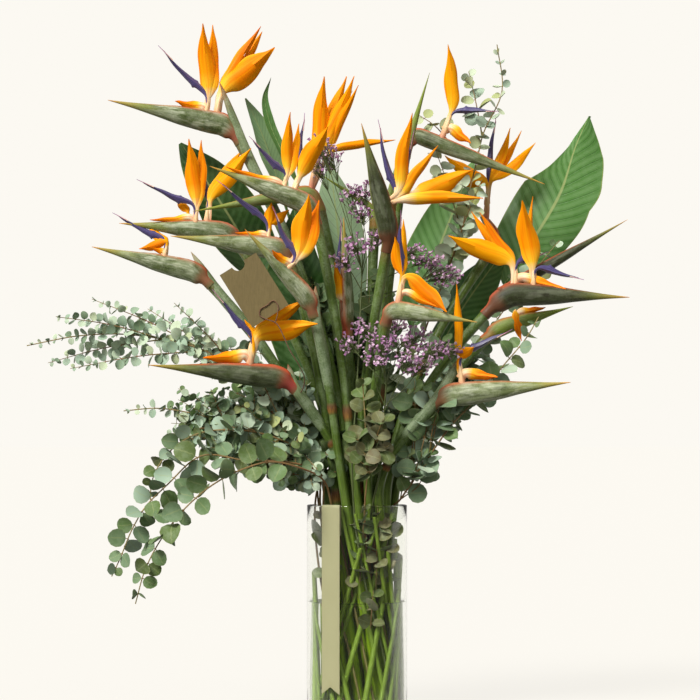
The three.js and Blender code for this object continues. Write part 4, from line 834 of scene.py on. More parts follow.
def sea_lavender(skin, spray, look, height, dice):
    """A wiry stem that branches to heads, each a tuft of small papery funnels on hair-thin stalks."""
    foot, rim = ruling(spray["waist"], height)
    stem = spaced_path(np.vstack([foot, rim, spray["main"]]), 40)
    skin.tube(stem, np.linspace(1.6, 0.9, 40), 8, None, WIRY)
    line = spaced_path(spray["main"], 30)
    number = look.lavender_florets
    for head in spot(spray["heads"]):
        start = line[np.argmin(np.abs(line[:, 2] - head[2] + dice.uniform(30, 60)))]
        middle = (start + head) / 2 + dice.normal(0, 3, 3)
        stalk = spaced_path(np.stack([start, middle, head]), 10)
        skin.tube(stalk, np.linspace(0.7, 0.4, 10), 5, None, WIRY)
        spread = unit(dice.normal(0, 1, (number, 3))) * dice.uniform(0.2, 1, (number, 1)) ** 0.6
        ends = head + spread * LAVENDER_ROOM + unit(head - start) * dice.uniform(-3, 7, (number, 1))
        stalks = np.linspace(stalk[dice.integers(7, 10, number)], ends, 4, axis=1)
        stalks[:, 1:3] += dice.normal(0, 0.6, (number, 1, 3))
        skin.tube(stalks, 0.28, 4, None, WIRY)
        way = unit(ends - stalks[:, 1] + dice.normal(0, 2, (number, 3)))
        size = look.lavender_size / MM * dice.uniform(0.7, 1.3, number)[:, None]
        funnel = ends[:, None] + way[:, None] * (size * LAVENDER_RISE)[..., None]
        skin.tube(funnel, size * LAVENDER_RADII, 5, None, LAVENDER_FLOWER, dice.random(number), FUNNEL_SIDE)


def turned_body(profile, around):
    """A surface of revolution: each ring is a radius and a height of the profile."""
    turn = TAU * np.arange(around) / around
    x, y = profile[:, :1] * np.cos(turn), profile[:, :1] * np.sin(turn)
    return np.stack([x, y, np.broadcast_to(profile[:, 1:], x.shape)], -1)


def tint(red, green, blue):
    """A display colour from 0 to 255 as linear light."""
    share = np.array([red, green, blue]) / 255
    low, high = share / 12.92, ((share + 0.055) / 1.055) ** 2.4
    return tuple(float(x) for x in np.where(share <= 0.04045, low, high))


class Wire:
    """A value in a node tree that is reckoned with like a number: each step adds a node."""

    def __init__(self, tree, socket):
        self.tree, self.socket = tree, socket

    def math(self, operation, *others):
        """One step of arithmetic, by the name of the Math node's operation."""
        return put(self.tree, "Math", self, *others, operation=operation)

    def __mul__(self, other):
        return self.math("MULTIPLY", other)

    def __abs__(self):
        return self.math("ABSOLUTE")

    def rise(self, low, high, bottom=0.0, top=1.0):
        """A smooth step from bottom where the value is low to top where it is high."""
        return put(self.tree, "MapRange", self, low, high, bottom, top, interpolation_type="SMOOTHSTEP")

    def span(self, bottom, top, low=0.0, high=1.0):
        """A straight line from bottom where the value is low to top where it is high."""
        return put(self.tree, "MapRange", self, low, high, bottom, top)


def put(tree, kind, *values, out=0, **settings):
    """Adds a node, sets it up, feeds its sockets in order, and gives one of its outputs."""
    node = tree.nodes.new("ShaderNode" + kind)
    for key, value in settings.items():
        setattr(node, key, value)
    for socket, value in zip(node.inputs, values):
        if isinstance(value, Wire):
            tree.links.new(value.socket, socket)
        elif value is not None:
            socket.default_value = value
    return Wire(tree, node.outputs[out])


def wires(tree, node):
    """All outputs of a node, by name."""
    return {socket.name: Wire(tree, socket) for socket in node.outputs}


def mixed(tree, share, a, b):
    """Two colours mixed by a share from 0 to 1."""
    a, b = ((*c, 1.0) if isinstance(c, tuple) else c for c in (a, b))
    return put(tree, "Mix", share, None, None, None, None, None, a, b, out=2, data_type="RGBA")


def ramp(value, *stops):
    """A colour ramp through stops: a place, then a linear colour or a display colour's three numbers."""
    node = value.tree.nodes.new("ShaderNodeValToRGB")
    elements = node.color_ramp.elements
    for k, (at, *colour) in enumerate(stops):
        element = elements[k] if k < 2 else elements.new(at)
        colour = tint(*colour) if len(colour) == 3 else colour[0]
        element.position, element.color = at, (*colour, 1)
    value.tree.links.new(value.socket, node.inputs[0])
    return Wire(value.tree, node.outputs[0])


def effect(tree, fill, **values):
    """Places a shader node group with its own values, and gives its outputs.

    The group is built once. Its name and its named outputs come from the function that fills it.
    """
    name = fill.__name__.replace("_", " ").capitalize()
    group = bpy.data.node_groups.get(name)
    if not group:
        group = bpy.data.node_groups.new(name, "ShaderNodeTree")
        for key in values:
            group.interface.new_socket(name=key.capitalize(), in_out="INPUT", socket_type="NodeSocketFloat")
        given = wires(group, group.nodes.new("NodeGroupInput"))
        results = fill(group, given)
        for key in results:
            group.interface.new_socket(name=key, in_out="OUTPUT", socket_type="NodeSocketFloat")
        sink = group.nodes.new("NodeGroupOutput")
        for key, value in results.items():
            group.links.new(value.socket, sink.inputs[key])
    node = tree.nodes.new("ShaderNodeGroup")
    node.node_tree = group
    for key, value in values.items():
        node.inputs[key.capitalize()].default_value = value
    return wires(tree, node)


def place(tree, _):
    """Reads the place map: along from root to tip, across from the middle to an edge, and the tone."""
    uv = wires(tree, put(tree, "SeparateXYZ", put(tree, "UVMap", uv_map="place")).socket.node)
    around = uv["X"]
    across = abs(around.math("PINGPONG", 0.5).math("MULTIPLY_ADD", -4.0, 1.0))
    tone = put(tree, "Attribute", out=2, attribute_name="tone")
    upper = around.math("LESS_THAN", 0.5)
    return {"Along": uv["Y"], "Across": across, "Upper": upper, "Around": around, "Tone": tone}


def fibres(tree, given):
    """Fine lines that run along a piece: noise stretched along its place map."""
    read = effect(tree, place)
    across, along = read["Around"] * given["Lines"], read["Along"] * given["Run"]
    where = put(tree, "CombineXYZ", across, along, read["Tone"] * TONE_SHIFT)
    return {"Line": put(tree, "TexNoise", where, None, 1.0, 2.0, 0.55).rise(0.3, 0.7)}


def bloom(tree, given):
    """A powdery bloom or blotches: two noises in Object coordinates, one ten times finer."""
    where = put(tree, "TexCoord", out=3)
    coarse = put(tree, "TexNoise", where, None, given["Size"], 3.0, 0.6)
    fine = put(tree, "TexNoise", where, None, given["Size"] * 10.0, 2.0, 0.5)
    both = fine.math("MULTIPLY_ADD", 0.35, coarse * 0.65)
    return {"Mask": put(tree, "MapRange", both, given["Low"], given["High"]), "Grain": fine}


def wet(tree, _):
    """1 where a stem stands in the water and 0 well above it, by its height over the floor."""
    height = put(tree, "SeparateXYZ", put(tree, "TexCoord", out=3), out=2)
    return {"Wet": height.rise(0.3, 0.12), "Height": height}


def side_veins(tree, given):
    """Side veins that leave the midrib and sweep to the tip: a cosine of count·along - sweep·across."""
    read = effect(tree, place)
    across = read["Across"]
    steps = (read["Along"] * given["Count"]).math("SUBTRACT", across * given["Sweep"])
    turn = steps * TAU
    wave = turn.math("COSINE")
    line = (wave.rise(-0.86, -1.0) * across.rise(1.0, 0.75)).math("MAXIMUM", across.rise(0.06, 0.0))
    return {"Line": line, "Wave": wave, "Fine": (turn * 5.0).math("COSINE")}


class Finish:
    """A material whose colour is laid on in coats, with what it reads from its piece's place map.

    Plain numbers are set on its Principled shader's own sockets.
    """

    def __init__(self, name, **sockets):
        self.material = bpy.data.materials.new(name)
        self.material.use_nodes = True
        self.tree = self.material.node_tree
        self.shader = self.tree.nodes["Principled BSDF"]
        for key, value in sockets.items():
            self.shader.inputs[key.replace("_", " ")].default_value = value

    def read(self, *names):
        """The named outputs of the place map."""
        outputs = effect(self.tree, place)
        return [outputs[name] for name in names]

    def fibres(self, lines, run):
        """Fine lines: how many lie across the place map, and how often they change along it."""
        return effect(self.tree, fibres, lines=lines, run=run)["Line"]

    def bloom(self, size, low, high):
        """Blotches of a size, cut between low and high, and their fine grain."""
        outputs = effect(self.tree, bloom, size=size, low=low, high=high)
        return outputs["Mask"], outputs["Grain"]

    def paint(self, *stops):
        """The first coat: a ramp of a value, or a plain colour."""
        self.colour = ramp(*stops) if len(stops) > 1 else stops[0]

    def coat(self, share, *colour):
        """Lays a coat on by a share: a display colour's three numbers, or a colour from other nodes."""
        self.colour = mixed(self.tree, share, self.colour, tint(*colour) if len(colour) == 3 else colour[0])

    def feed(self, roughness, height=None, strength=0.3, distance=0.0005):
        """Links the colour, a roughness and a bump height to the shader, and gives the material."""
        self.tree.links.new(self.colour.socket, self.shader.inputs["Base Color"])
        if roughness:
            self.tree.links.new(roughness.socket, self.shader.inputs["Roughness"])
        if height:
            bump = put(self.tree, "Bump", strength, distance, None, height)
            self.tree.links.new(bump.socket, self.shader.inputs["Normal"])
        return self.material

    def dull_under_water(self, under):
        """Takes the gloss off where a stem stands in the water."""
        self.tree.links.new(under.rise(0.0, 0.7, 0.4, 0.05).socket, self.shader.inputs["Specular IOR Level"])

    def blend_out(self, share, first, second):
        """Mixes two shaders by a share, and puts them out."""
        both = put(self.tree, "MixShader", share, first, second)
        self.tree.links.new(both.socket, self.tree.nodes["Material Output"].inputs[0])

    def let_light_in(self, clear):
        """Shadow and diffuse rays pass straight through, so that light reaches what stands inside."""
        rays = wires(self.tree, self.tree.nodes.new("ShaderNodeLightPath"))
        straight = rays["Is Shadow Ray"].math("MAXIMUM", rays["Is Diffuse Ray"])
        shader = Wire(self.tree, self.shader.outputs[0])
        self.blend_out(straight, shader, put(self.tree, "BsdfTransparent", clear))


def sepal_look(look):
    """Orange petal: yellow at its root, deeper along its middle and at its tip, with fine lines."""
    petal = Finish("Orange sepal", Specular_IOR_Level=0.08)
    along, across, tone = petal.read("Along", "Across", "Tone")
    line, orange = petal.fibres(11.0, 1.2), tuple(look.sepal_colour)
    petal.paint(along, (0.0, 236, 184, 150), (0.2, 253, 234, 196), (0.34, 255, 198, 50), (0.5, orange),
                (0.86, orange), (1.0, 242, 134, 2))
    # Lighter yellow where the tone is high: partly the sepals' own colour, partly painted light on and
    # through them.
    petal.coat(tone.rise(0.4, 1.0) * along.rise(0.2, 0.42, 0.0, 0.6), 255, 174, 4)
    petal.coat(tone.rise(0.3, 0.0) * along.rise(0.2, 0.8) * 0.6, 236, 96, 8)
    petal.coat(line.rise(0.5, 0.9, 0.0, 0.45), 234, 104, 0)
    petal.coat(line.rise(0.4, 0.1, 0.0, 0.4), 255, 178, 20)
    petal.coat(across.rise(0.84, 1.0) * 0.4, 255, 196, 60)
    petal.coat(across.rise(0.1, 0.0) * 0.25, 222, 100, 0)
    return petal.feed(line.span(0.42, 0.6), line, 0.08, 0.0001)


def arrow_look(look):
    """Blue petal: pinkish white at its root, deep violet blue along the arrow, satin."""
    petal = Finish("Blue petal", Sheen_Weight=0.15)
    along, across = petal.read("Along", "Across")
    line, blue = petal.fibres(30.0, 2.0), tuple(look.arrow_colour)
    petal.paint(along, (0.0, 206, 170, 176), (0.12, 132, 110, 156), (0.3, blue), (0.8, blue),
                (1.0, 44, 38, 70))
    petal.coat(line * 0.35, 122, 112, 176)
    petal.coat(across.rise(0.75, 1.0) * 0.5, 40, 34, 78)
    return petal.feed(line.span(0.35, 0.5), line, 0.3, 0.0004)


def floret_base_look(look):
    """The floret's root: pink where it leaves the spathe, cream above, streaked along."""
    base = Finish("Floret base")
    line = base.fibres(18.0, 1.5)
    base.paint(*base.read("Along"), (0.0, 206, 110, 96), (0.3, 236, 172, 134), (0.6, 250, 216, 160),
               (1.0, 253, 226, 176))
    base.coat(line * 0.5, 206, 128, 96)
    return base.feed(line.span(0.4, 0.6), line)


def spathe_look(look):
    """Spathe: a red neck, a grey-green body with dark streaks and pale bloom, an orange lip and tip."""
    horn = Finish("Spathe", Specular_IOR_Level=0.3)
    tree, green = horn.tree, tuple(look.spathe_colour)
    along, around, tone = horn.read("Along", "Around", "Tone")
    clear = along.rise(0.08, 0.2) * along.rise(0.86, 0.6, 0.15, 1.0)
    red = tone.rise(0.75, 0.35, 0.5, 0.95)
    neck = ramp(along, (0.0, 124, 96, 62), (0.05, 168, 66, 62), (0.11, 160, 80, 62), (0.19, green))
    neck = mixed(tree, tone.rise(0.16, 0.1), neck, tint(104, 66, 44))
    horn.paint(along, (0.0, green), (0.55, green), (0.76, 134, 142, 66), (0.92, 172, 146, 56),
               (1.0, 228, 150, 50))
    horn.coat(tone.rise(0.6, 1.0) * 0.5 * clear, 160, 170, 118)
    fresh = tone.rise(1.0, 1.3)
    horn.coat(fresh * 0.85, 128, 150, 44)
    horn.coat(tone.rise(0.5, 0.0, 0.0, 0.8) * along.rise(0.95, 0.6, 0.25, 1.0), 36, 40, 18)
    horn.coat(along.rise(0.19, 0.12) * red, neck)
    dark = mixed(tree, tone.rise(0.5, 0.0), tint(62, 74, 36), tint(38, 34, 22))
    blotch, _ = horn.bloom(55.0, 0.42, 0.56)
    mottle = horn.fibres(22.0, 5.0) * blotch.rise(0.0, 0.8, 0.25, 1.0) * clear
    horn.coat(mottle * fresh.rise(0.0, 1.0, 1.0, 0.35) * 0.85, dark)
    powder, _ = horn.bloom(66.0, 0.43, 0.61)
    drawn = powder.math("MULTIPLY_ADD", 0.4, horn.fibres(8.0, 6.0).rise(0.35, 0.75) * 0.6)
    chalk = horn.fibres(40.0, 7.0).rise(0.0, 1.0, 0.45, 1.0) * drawn * clear
    dusty = tone.rise(0.0, 0.7, 0.15, 0.8) * fresh.rise(0.0, 1.0, 1.0, 0.25)
    horn.coat(chalk * dusty, 202, 208, 180)
    top = around.math("PINGPONG", 0.5)
    reach = along.rise(0.9, 0.5) * chalk.rise(0.9, 0.2, 0.3, 0.8)
    horn.coat(top.rise(0.13, 0.075) * reach * red * tone.rise(0.1, 0.16, 0.4, 1.0), 220, 92, 48)
    horn.coat(top.rise(0.18, 0.06) * along.rise(0.5, 0.15) * 0.4, 190, 86, 58)
    horn.coat(top.rise(0.44, 0.5) * 0.5, 146, 156, 74)
    return horn.feed(powder.span(0.42, 0.68), horn.fibres(90.0, 4.0), 0.25, 0.0004)


def stalk_look(look):
    """Stalk: bright green without gloss under water, grey-green with bloom above, brown below the head."""
    stalk = Finish("Stalk")
    under = effect(stalk.tree, wet)
    height, under = under["Height"], under["Wet"]
    line, green = stalk.fibres(16.0, 9.0), tuple(look.stalk_colour)
    stalk.paint(*stalk.read("Along"), (0.0, green), (0.9, green), (0.97, 132, 92, 62))
    stalk.coat(under, 144, 176, 28)
    stalk.coat(height.rise(0.016, 0.01), 196, 200, 120)
    stalk.coat(line * under.rise(0.0, 1.0, 0.6, 0.4), 38, 60, 10)
    stalk.dull_under_water(under)
    powder, _ = stalk.bloom(45.0, 0.46, 0.62)
    stalk.coat(powder * height.rise(0.2, 0.4) * 0.4, 154, 174, 132)
    return stalk.feed(powder.span(0.4, 0.65), line, 0.25)


def bract_look(look):
    """Bract: grey-green with a red edge and an orange tip."""
    bract = Finish("Bract")
    along, across = bract.read("Along", "Across")
    line = bract.fibres(26.0, 4.0)
    bract.paint(along, (0.0, tuple(look.stalk_colour)), (0.2, 112, 132, 88), (0.85, 132, 146, 104),
                (1.0, 196, 112, 70))
    bract.coat(line * 0.6, 62, 84, 44)
    powder, _ = bract.bloom(60.0, 0.46, 0.6)
    bract.coat(powder * 0.5, 166, 182, 150)
    bract.coat(across.rise(0.86, 1.0) * 0.7, 168, 82, 60)
    return bract.feed(line.span(0.45, 0.65), line)


def cuff_look(look):
    """Papery node: rust brown over ochre, cracked along."""
    cuff = Finish("Papery node")
    line = cuff.fibres(40.0, 2.0)
    cuff.paint(*cuff.read("Along"), (0.0, 104, 124, 52), (0.25, 158, 112, 46), (0.7, 112, 74, 36),
               (1.0, 96, 112, 52))
    cuff.coat(line * 0.6, 70, 50, 30)
    return cuff.feed(line.span(0.6, 0.85), line, 0.5)


def stigma_look(look):
    """A thin pinkish thread between the petals."""
    thread = Finish("Stigma")
    line = thread.fibres(6.0, 8.0)
    thread.paint(*thread.read("Along"), (0.0, 236, 200, 180), (0.6, 190, 118, 150), (1.0, 160, 110, 170))
    return thread.feed(line.span(0.4, 0.6), line)


def big_leaf_look(look):
    """Leaf blade: deep green with a pale midrib and rim, dark side veins, and a satin cuticle.

    The lighter bands on the quilts between the side veins are painted highlights.
    """
    leaf = Finish("Big leaf", Coat_Weight=0.15, Coat_Roughness=0.35)
    across, tone = leaf.read("Across", "Tone")
    vein = effect(leaf.tree, side_veins, count=float(look.vein_count), sweep=look.vein_sweep)
    leaf.paint(tone, (0.0, 28, 50, 16), (0.5, tuple(look.leaf_colour)), (0.7, 84, 134, 60),
               (1.0, 166, 192, 158))
    blotch, grain = leaf.bloom(16.0, 0.42, 0.6)
    leaf.coat(blotch * 0.25, 130, 168, 108)
    # Painted highlights: lighter bands on the quilts between the side veins.
    leaf.coat(vein["Wave"].rise(-0.4, 1.0) * tone.rise(0.1, 0.7, 0.08, 0.22), 146, 186, 126)
    leaf.coat(vein["Line"] * 0.3, 38, 78, 24)
    leaf.coat(across.rise(0.05, 0.02) * 0.7, 172, 186, 120)
    leaf.coat(across.rise(0.965, 0.99) * 0.6, 170, 176, 96)
    height = vein["Fine"].math("MULTIPLY_ADD", 0.06, vein["Line"] * -1.0)
    return leaf.feed(grain.span(0.32, 0.5, 0.3, 0.7), height)


def petiole_look(look):
    """A green leaf stalk with fine lines."""
    stalk = Finish("Petiole")
    line, under = stalk.fibres(12.0, 20.0), effect(stalk.tree, wet)["Wet"]
    stalk.paint(tint(112, 138, 70))
    stalk.coat(line, 72, 104, 44)
    stalk.coat(under * 0.8, 146, 176, 30)
    stalk.dull_under_water(under)
    return stalk.feed(line.span(0.4, 0.6), line)


def round_leaf_look(look):
    """Eucalyptus leaf: blue-green under a pale bloom, olive in some, with a light rib and rim."""
    leaf = Finish("Round leaf", Sheen_Weight=0.1, Specular_IOR_Level=0.35)
    across, upper, tone = leaf.read("Across", "Upper", "Tone")
    leaf.paint(tone, (0.0, 114, 104, 72), (0.1, 90, 102, 50), (0.25, 88, 116, 56),
               (0.5, tuple(look.eucalyptus_colour)), (0.72, 158, 182, 160), (0.88, 196, 210, 182),
               (1.0, 160, 168, 92))
    powder, grain = leaf.bloom(120.0, 0.44, 0.6)
    leaf.coat(powder * 0.22, 158, 174, 146)
    leaf.coat(upper.span(0.3, 0.0), 132, 148, 118)
    leaf.coat(across.rise(0.1, 0.0) * 0.35, 160, 168, 112)
    leaf.coat(across.rise(0.86, 1.0) * 0.25, 152, 140, 96)
    return leaf.feed(grain.span(0.5, 0.7, 0.3, 0.7), grain, 0.2, 0.0003)


def twig_look(look):
    """Eucalyptus twig: copper brown turning olive to its tip."""
    twig = Finish("Twig")
    along, tone = twig.read("Along", "Tone")
    line = twig.fibres(8.0, 30.0)
    twig.paint(along, (0.0, 112, 116, 54), (0.5, 140, 104, 62), (1.0, 160, 148, 92))
    twig.coat(line * 0.5, 98, 64, 42)
    twig.coat(tone.rise(0.02, 0.0), 118, 144, 40)
    return twig.feed(line.span(0.5, 0.75), line, 0.4, 0.0003)


def lavender_look(look):
    """Papery violet funnels, from pinkish to blue violet, paler at their roots."""
    funnel = Finish("Sea lavender flower", Sheen_Weight=0.2)
    along, tone = funnel.read("Along", "Tone")
    line = funnel.fibres(14.0, 2.0)
    funnel.paint(tone, (0.0, 160, 104, 156), (0.4, tuple(look.lavender_colour)), (1.0, 226, 196, 216))
    funnel.coat(along.rise(0.35, 0.0) * 0.7, 150, 148, 120)
    funnel.coat(line * 0.3, 98, 56, 104)
    return funnel.feed(line.span(0.6, 0.8), line, 0.3, 0.0002)


def wiry_look(look):
    """Sea lavender's wiry green stem."""
    stem = Finish("Wiry stem")
    line = stem.fibres(8.0, 26.0)
    stem.paint(tint(92, 104, 56))
    stem.coat(line, 64, 76, 38)
    return stem.feed(line.span(0.5, 0.7), line, 0.3, 0.0002)


def glass_look(look):
    """Clear glass with the faint long waves of a drawn cylinder."""
    glass = Finish("Vase glass", Transmission_Weight=1.0, Roughness=0.0, IOR=1.45)
    wave, _ = glass.bloom(9.0, 0.3, 0.7)
    glass.paint(tuple(look.glass_tint))
    glass.coat(wave, 252, 253, 251)
    glass.let_light_in(GLASS_CLEAR)
    return glass.feed(None, wave, 0.01, 0.001)


def water_look(look):
    """Clear water, a little green between the stems."""
    water = Finish("Water", Transmission_Weight=1.0, Roughness=0.0, IOR=1.333)
    wave, _ = water.bloom(14.0, 0.3, 0.7)
    water.paint(tuple(look.water_tint))
    water.coat(wave, 246, 250, 240)
    water.let_light_in(WATER_CLEAR)
    return water.feed(None, wave, 0.02, 0.001)


def ribbon_look(look):
    """Pale olive satin: fine ribs across, finer threads along, and a denser selvedge."""
    satin = Finish("Ribbon satin", Sheen_Weight=0.12, Sheen_Roughness=0.4)
    along, around, across = satin.read("Along", "Around", "Across")
    weave = (along * 2600.0).math("SINE") * (around * 560.0).math("SINE")
    cloth = weave.rise(-1.0, 1.0)
    satin.paint(tuple(look.ribbon_colour))
    satin.coat(cloth * 0.3, 136, 134, 92)
    blotch, _ = satin.bloom(40.0, 0.4, 0.6)
    satin.coat(blotch * 0.12, 178, 176, 138)
    satin.coat(across.rise(0.93, 0.97) * 0.35, 126, 122, 80)
    return satin.feed(cloth.span(0.42, 0.58), weave, 0.25, 0.0002)


def card_look(look):
    """Bronze card: a metallic print over paper fibres, lighter on its cut edges and worn corners."""
    card = Finish("Bronze card", Metallic=0.35)
    tree, turn = card.tree, (0.0, CARD_TURN, 0.0)
    stretch = put(tree, "Mapping", put(tree, "TexCoord", out=3), None, turn, CARD_FIBRE)
    fibre = put(tree, "TexNoise", stretch, None, 1.0, 3.0, 0.6)
    worn, grain = card.bloom(26.0, 0.38, 0.64)
    card.paint(tuple(look.card_colour))
    card.coat(fibre.rise(0.3, 0.7) * 0.4, 108, 95, 60)
    card.coat(worn * 0.3, 122, 108, 74)
    facing = put(tree, "SeparateXYZ", put(tree, "NewGeometry", out=1), out=1)
    card.coat(abs(facing).rise(0.7, 0.4), 196, 184, 150)
    return card.feed(grain.span(0.36, 0.52, 0.3, 0.7), fibre, 0.15, 0.0002)


def twine_look(look):
    """Copper-brown twine: two plies, with fibres that follow their twist."""
    twine = Finish("Twine", Sheen_Weight=0.3)
    along, around = twine.read("Along", "Around")
    turn = along.math("MULTIPLY_ADD", float(TWINE_TURNS), around)
    where = put(twine.tree, "CombineXYZ", turn * 9.0, along * 30.0)
    fibre = put(twine.tree, "TexNoise", where, None, 1.0, 3.0, 0.6)
    twine.paint(tuple(look.twine_colour))
    twine.coat(fibre.rise(0.3, 0.7), 96, 62, 40)
    return twine.feed(fibre.span(0.6, 0.8, 0.3, 0.7), fibre, 0.4, 0.0002)


def seen_and_gloss(tree):
    """What kind of ray arrives: where it crosses only glass from the camera, and where it is gloss."""
    rays = wires(tree, tree.nodes.new("ShaderNodeLightPath"))
    through = rays["Is Transmission Ray"]
    seen = rays["Is Camera Ray"].math("MAXIMUM", through) * rays["Glossy Depth"].math("LESS_THAN", 0.5)
    return seen, rays["Is Glossy Ray"].math("MAXIMUM", through), through


def floor_look(look):
    """Pale seamless paper, lit from below as on a light table, with a barely seen grain.

    Bounced light, and gloss in front of the vase, meet a dimmer floor, so that undersides stay dark
    and the glass stays clear.
    """
    paper = Finish("Pale paper", Specular_IOR_Level=0.0, Emission_Color=(*look.backdrop_colour, 1.0),
                   Emission_Strength=look.floor_glow)
    tree, shade = paper.tree, tuple(look.floor_share * x for x in look.backdrop_colour)
    mask, grain = paper.bloom(3.0, 0.3, 0.7)
    paper.paint(shade)
    paper.coat(mask, tuple(0.996 * x for x in shade))
    seen, gloss, _ = seen_and_gloss(tree)
    depth = put(tree, "SeparateXYZ", put(tree, "TexCoord", out=3), out=1)
    seen = seen.math("MAXIMUM", gloss * depth.rise(-0.3, 0.1))
    dim = put(tree, "BsdfDiffuse", (*shade, 1.0))
    paper.blend_out(seen, dim, Wire(tree, paper.shader.outputs[0]))
    return paper.feed(grain.span(0.85, 0.95, 0.3, 0.7))


def studio_sky(tree, look):
    """Light that is strongest from above and the left front, and dim low at both sides.

    The camera itself, and a ray that has come straight through the glass, see the plain backdrop,
    which only darkens far out to the sides. Gloss, in the glass too, sees a dim room in front and
    the backdrop behind, so that it doesn't veil the dark greens.
    """
    tree.nodes.clear()
    way = put(tree, "TexCoord")
    sides = wires(tree, put(tree, "SeparateXYZ", way).socket.node)
    x, far = abs(sides["X"]), sides["Y"]
    key = put(tree, "VectorMath", way, SKY_KEY, out=1, operation="DOT_PRODUCT")
    seen, gloss, through = seen_and_gloss(tree)
    room = gloss.span(look.fill_strength, far.rise(0.5, 0.95, look.gloss_strength, 0.42))
    glow = key.span(0.62, 1.35, -0.6, 1.0) * x.rise(0.72, 0.98, 1.0, 0.45) * room
    beyond = x.rise(0.84, 1.0) * through
    colour = (*look.backdrop_colour, 1)
    light = put(tree, "Background", colour, glow)
    plain = put(tree, "Background", colour, beyond.rise(0.0, 1.0, 1.0, 0.4))
    both = put(tree, "MixShader", seen, light, plain)
    tree.links.new(both.socket, tree.nodes.new("ShaderNodeOutputWorld").inputs[0])


def ribbon_skin(skin, look, vase):
    """A strip that hangs down the outside of the glass, turns over the rim and ends inside it.

    Its middle line runs in the plane of its bearing. Across, each point lies on the same bearing
    circle as the glass, and the tail's rows start later towards the middle, for the swallowtail.
    """
    outer = vase.radius / MM + RIBBON_ROOM
    inner = (vase.radius - vase.wall) / MM - RIBBON_INNER_ROOM
    top = vase.height / MM + RIBBON_ROOM - RIBBON_BEND
    turn = np.linspace(0, np.pi / 2, 6)
    wide, high = RIBBON_BEND * np.cos(turn), RIBBON_BEND * np.sin(turn)
    near = np.column_stack([outer - RIBBON_BEND + wide, top + high])
    far = np.column_stack([inner + RIBBON_BEND - high, top + wide])
    line = np.vstack([[outer, RIBBON_TAIL], near, far, [inner, RIBBON_HOOK]])
    run = np.concatenate([[0], np.cumsum(steps_of(line))])
    s = np.linspace(1, -1, 13)
    start = RIBBON_NOTCH * (1 - np.abs(s))
    share = np.linspace(0, 1, RIBBON_ROWS)[:, None]
    at = start + (run[-1] - start) * share
    radius, z = np.interp(at, run, line[:, 0]), np.interp(at, run, line[:, 1])
    away = unit(np.gradient(np.stack([radius, z], -1), axis=0))
    bearing = RIBBON_BEARING - s * look.ribbon_width / MM / 2 / outer
    swell = RIBBON_WAVE * (1 + np.sin(at / RIBBON_RIPPLE) * np.cos(RIBBON_CROSS * s))
    faces = []
    for room in (RIBBON_THICK / 2, -RIBBON_THICK / 2):
        off = swell + room * (1 - s**12)
        r, h = radius + off * away[..., 1], z - off * away[..., 0]
        faces.append(np.stack([r * np.cos(bearing), r * np.sin(bearing), h], -1))
    skin.add(np.concatenate([faces[0], faces[1][:, -2:0:-1]], axis=1), blade_place(s), share[:, 0])


def cord_skin(skin, path, radius):
    """Twine of two plies: its radius swells and shrinks twice a turn, and the lobes wind along it."""
    _, side, lift = frames(path, BACK)
    turn = TAU * np.arange(CORD_AROUND) / CORD_AROUND
    wind = TAU * TWINE_TURNS * np.linspace(0, 1, len(path))[:, None]
    reach = radius * (0.88 + 0.14 * np.cos(2 * (turn - wind)))
    skin.add(rings(path, side, lift, reach * np.cos(turn), reach * np.sin(turn)), around_place(CORD_AROUND))


def colour_property(name, description, red, green, blue):
    return FloatVectorProperty(name=name, description=description, subtype="COLOR", size=3,
                               min=0.0, max=1.0, default=tint(red, green, blue))


def length_property(name, description, default):
    return FloatProperty(name=name, description=description, default=default, min=0.0, unit="LENGTH")


def number_property(name, description, default, least=0.0):
    return FloatProperty(name=name, description=description, default=default, min=least)


class VaseSettings(bpy.types.PropertyGroup):
    radius: length_property("Radius", "Outer radius of the glass", 0.060)
    height: length_property("Height", "Height of the glass", 0.250)
    wall: length_property("Wall", "Thickness of the glass wall", 0.003)
    floor: length_property("Floor", "Thickness of the glass floor", 0.010)
    water_level: length_property("Water level", "Height of the water's surface", 0.134)
    glass_tint: colour_property("Glass", "Tint of the glass", 248, 250, 246)
    water_tint: colour_property("Water", "Tint of the water", 244, 250, 232)


class FlowerSettings(bpy.types.PropertyGroup):
    stalk_radius: length_property("Stalk radius", "Radius of a stalk at its cut end", 0.0056)
    neck_radius: length_property("Neck radius", "Radius of a stalk below its flower head", 0.0067)
    spathe_depth: length_property("Spathe depth", "Greatest depth of a spathe", 0.029)
    spathe_breadth: length_property("Spathe breadth", "Greatest breadth of a spathe", 0.019)
    petal_thickness: length_property("Petal thickness", "Thickness of a petal", 0.0009)
    arrow_barb: length_property("Arrow", "Breadth of the blue arrow at its barbs", 0.013)
    sepal_colour: colour_property("Sepal", "Main colour of the orange sepals", 253, 150, 2)
    arrow_colour: colour_property("Arrow", "Colour of the blue petals", 60, 52, 98)
    spathe_colour: colour_property("Spathe", "Main colour of the spathes", 96, 110, 66)
    stalk_colour: colour_property("Stalk", "Colour of the stalks above the water", 94, 118, 46)


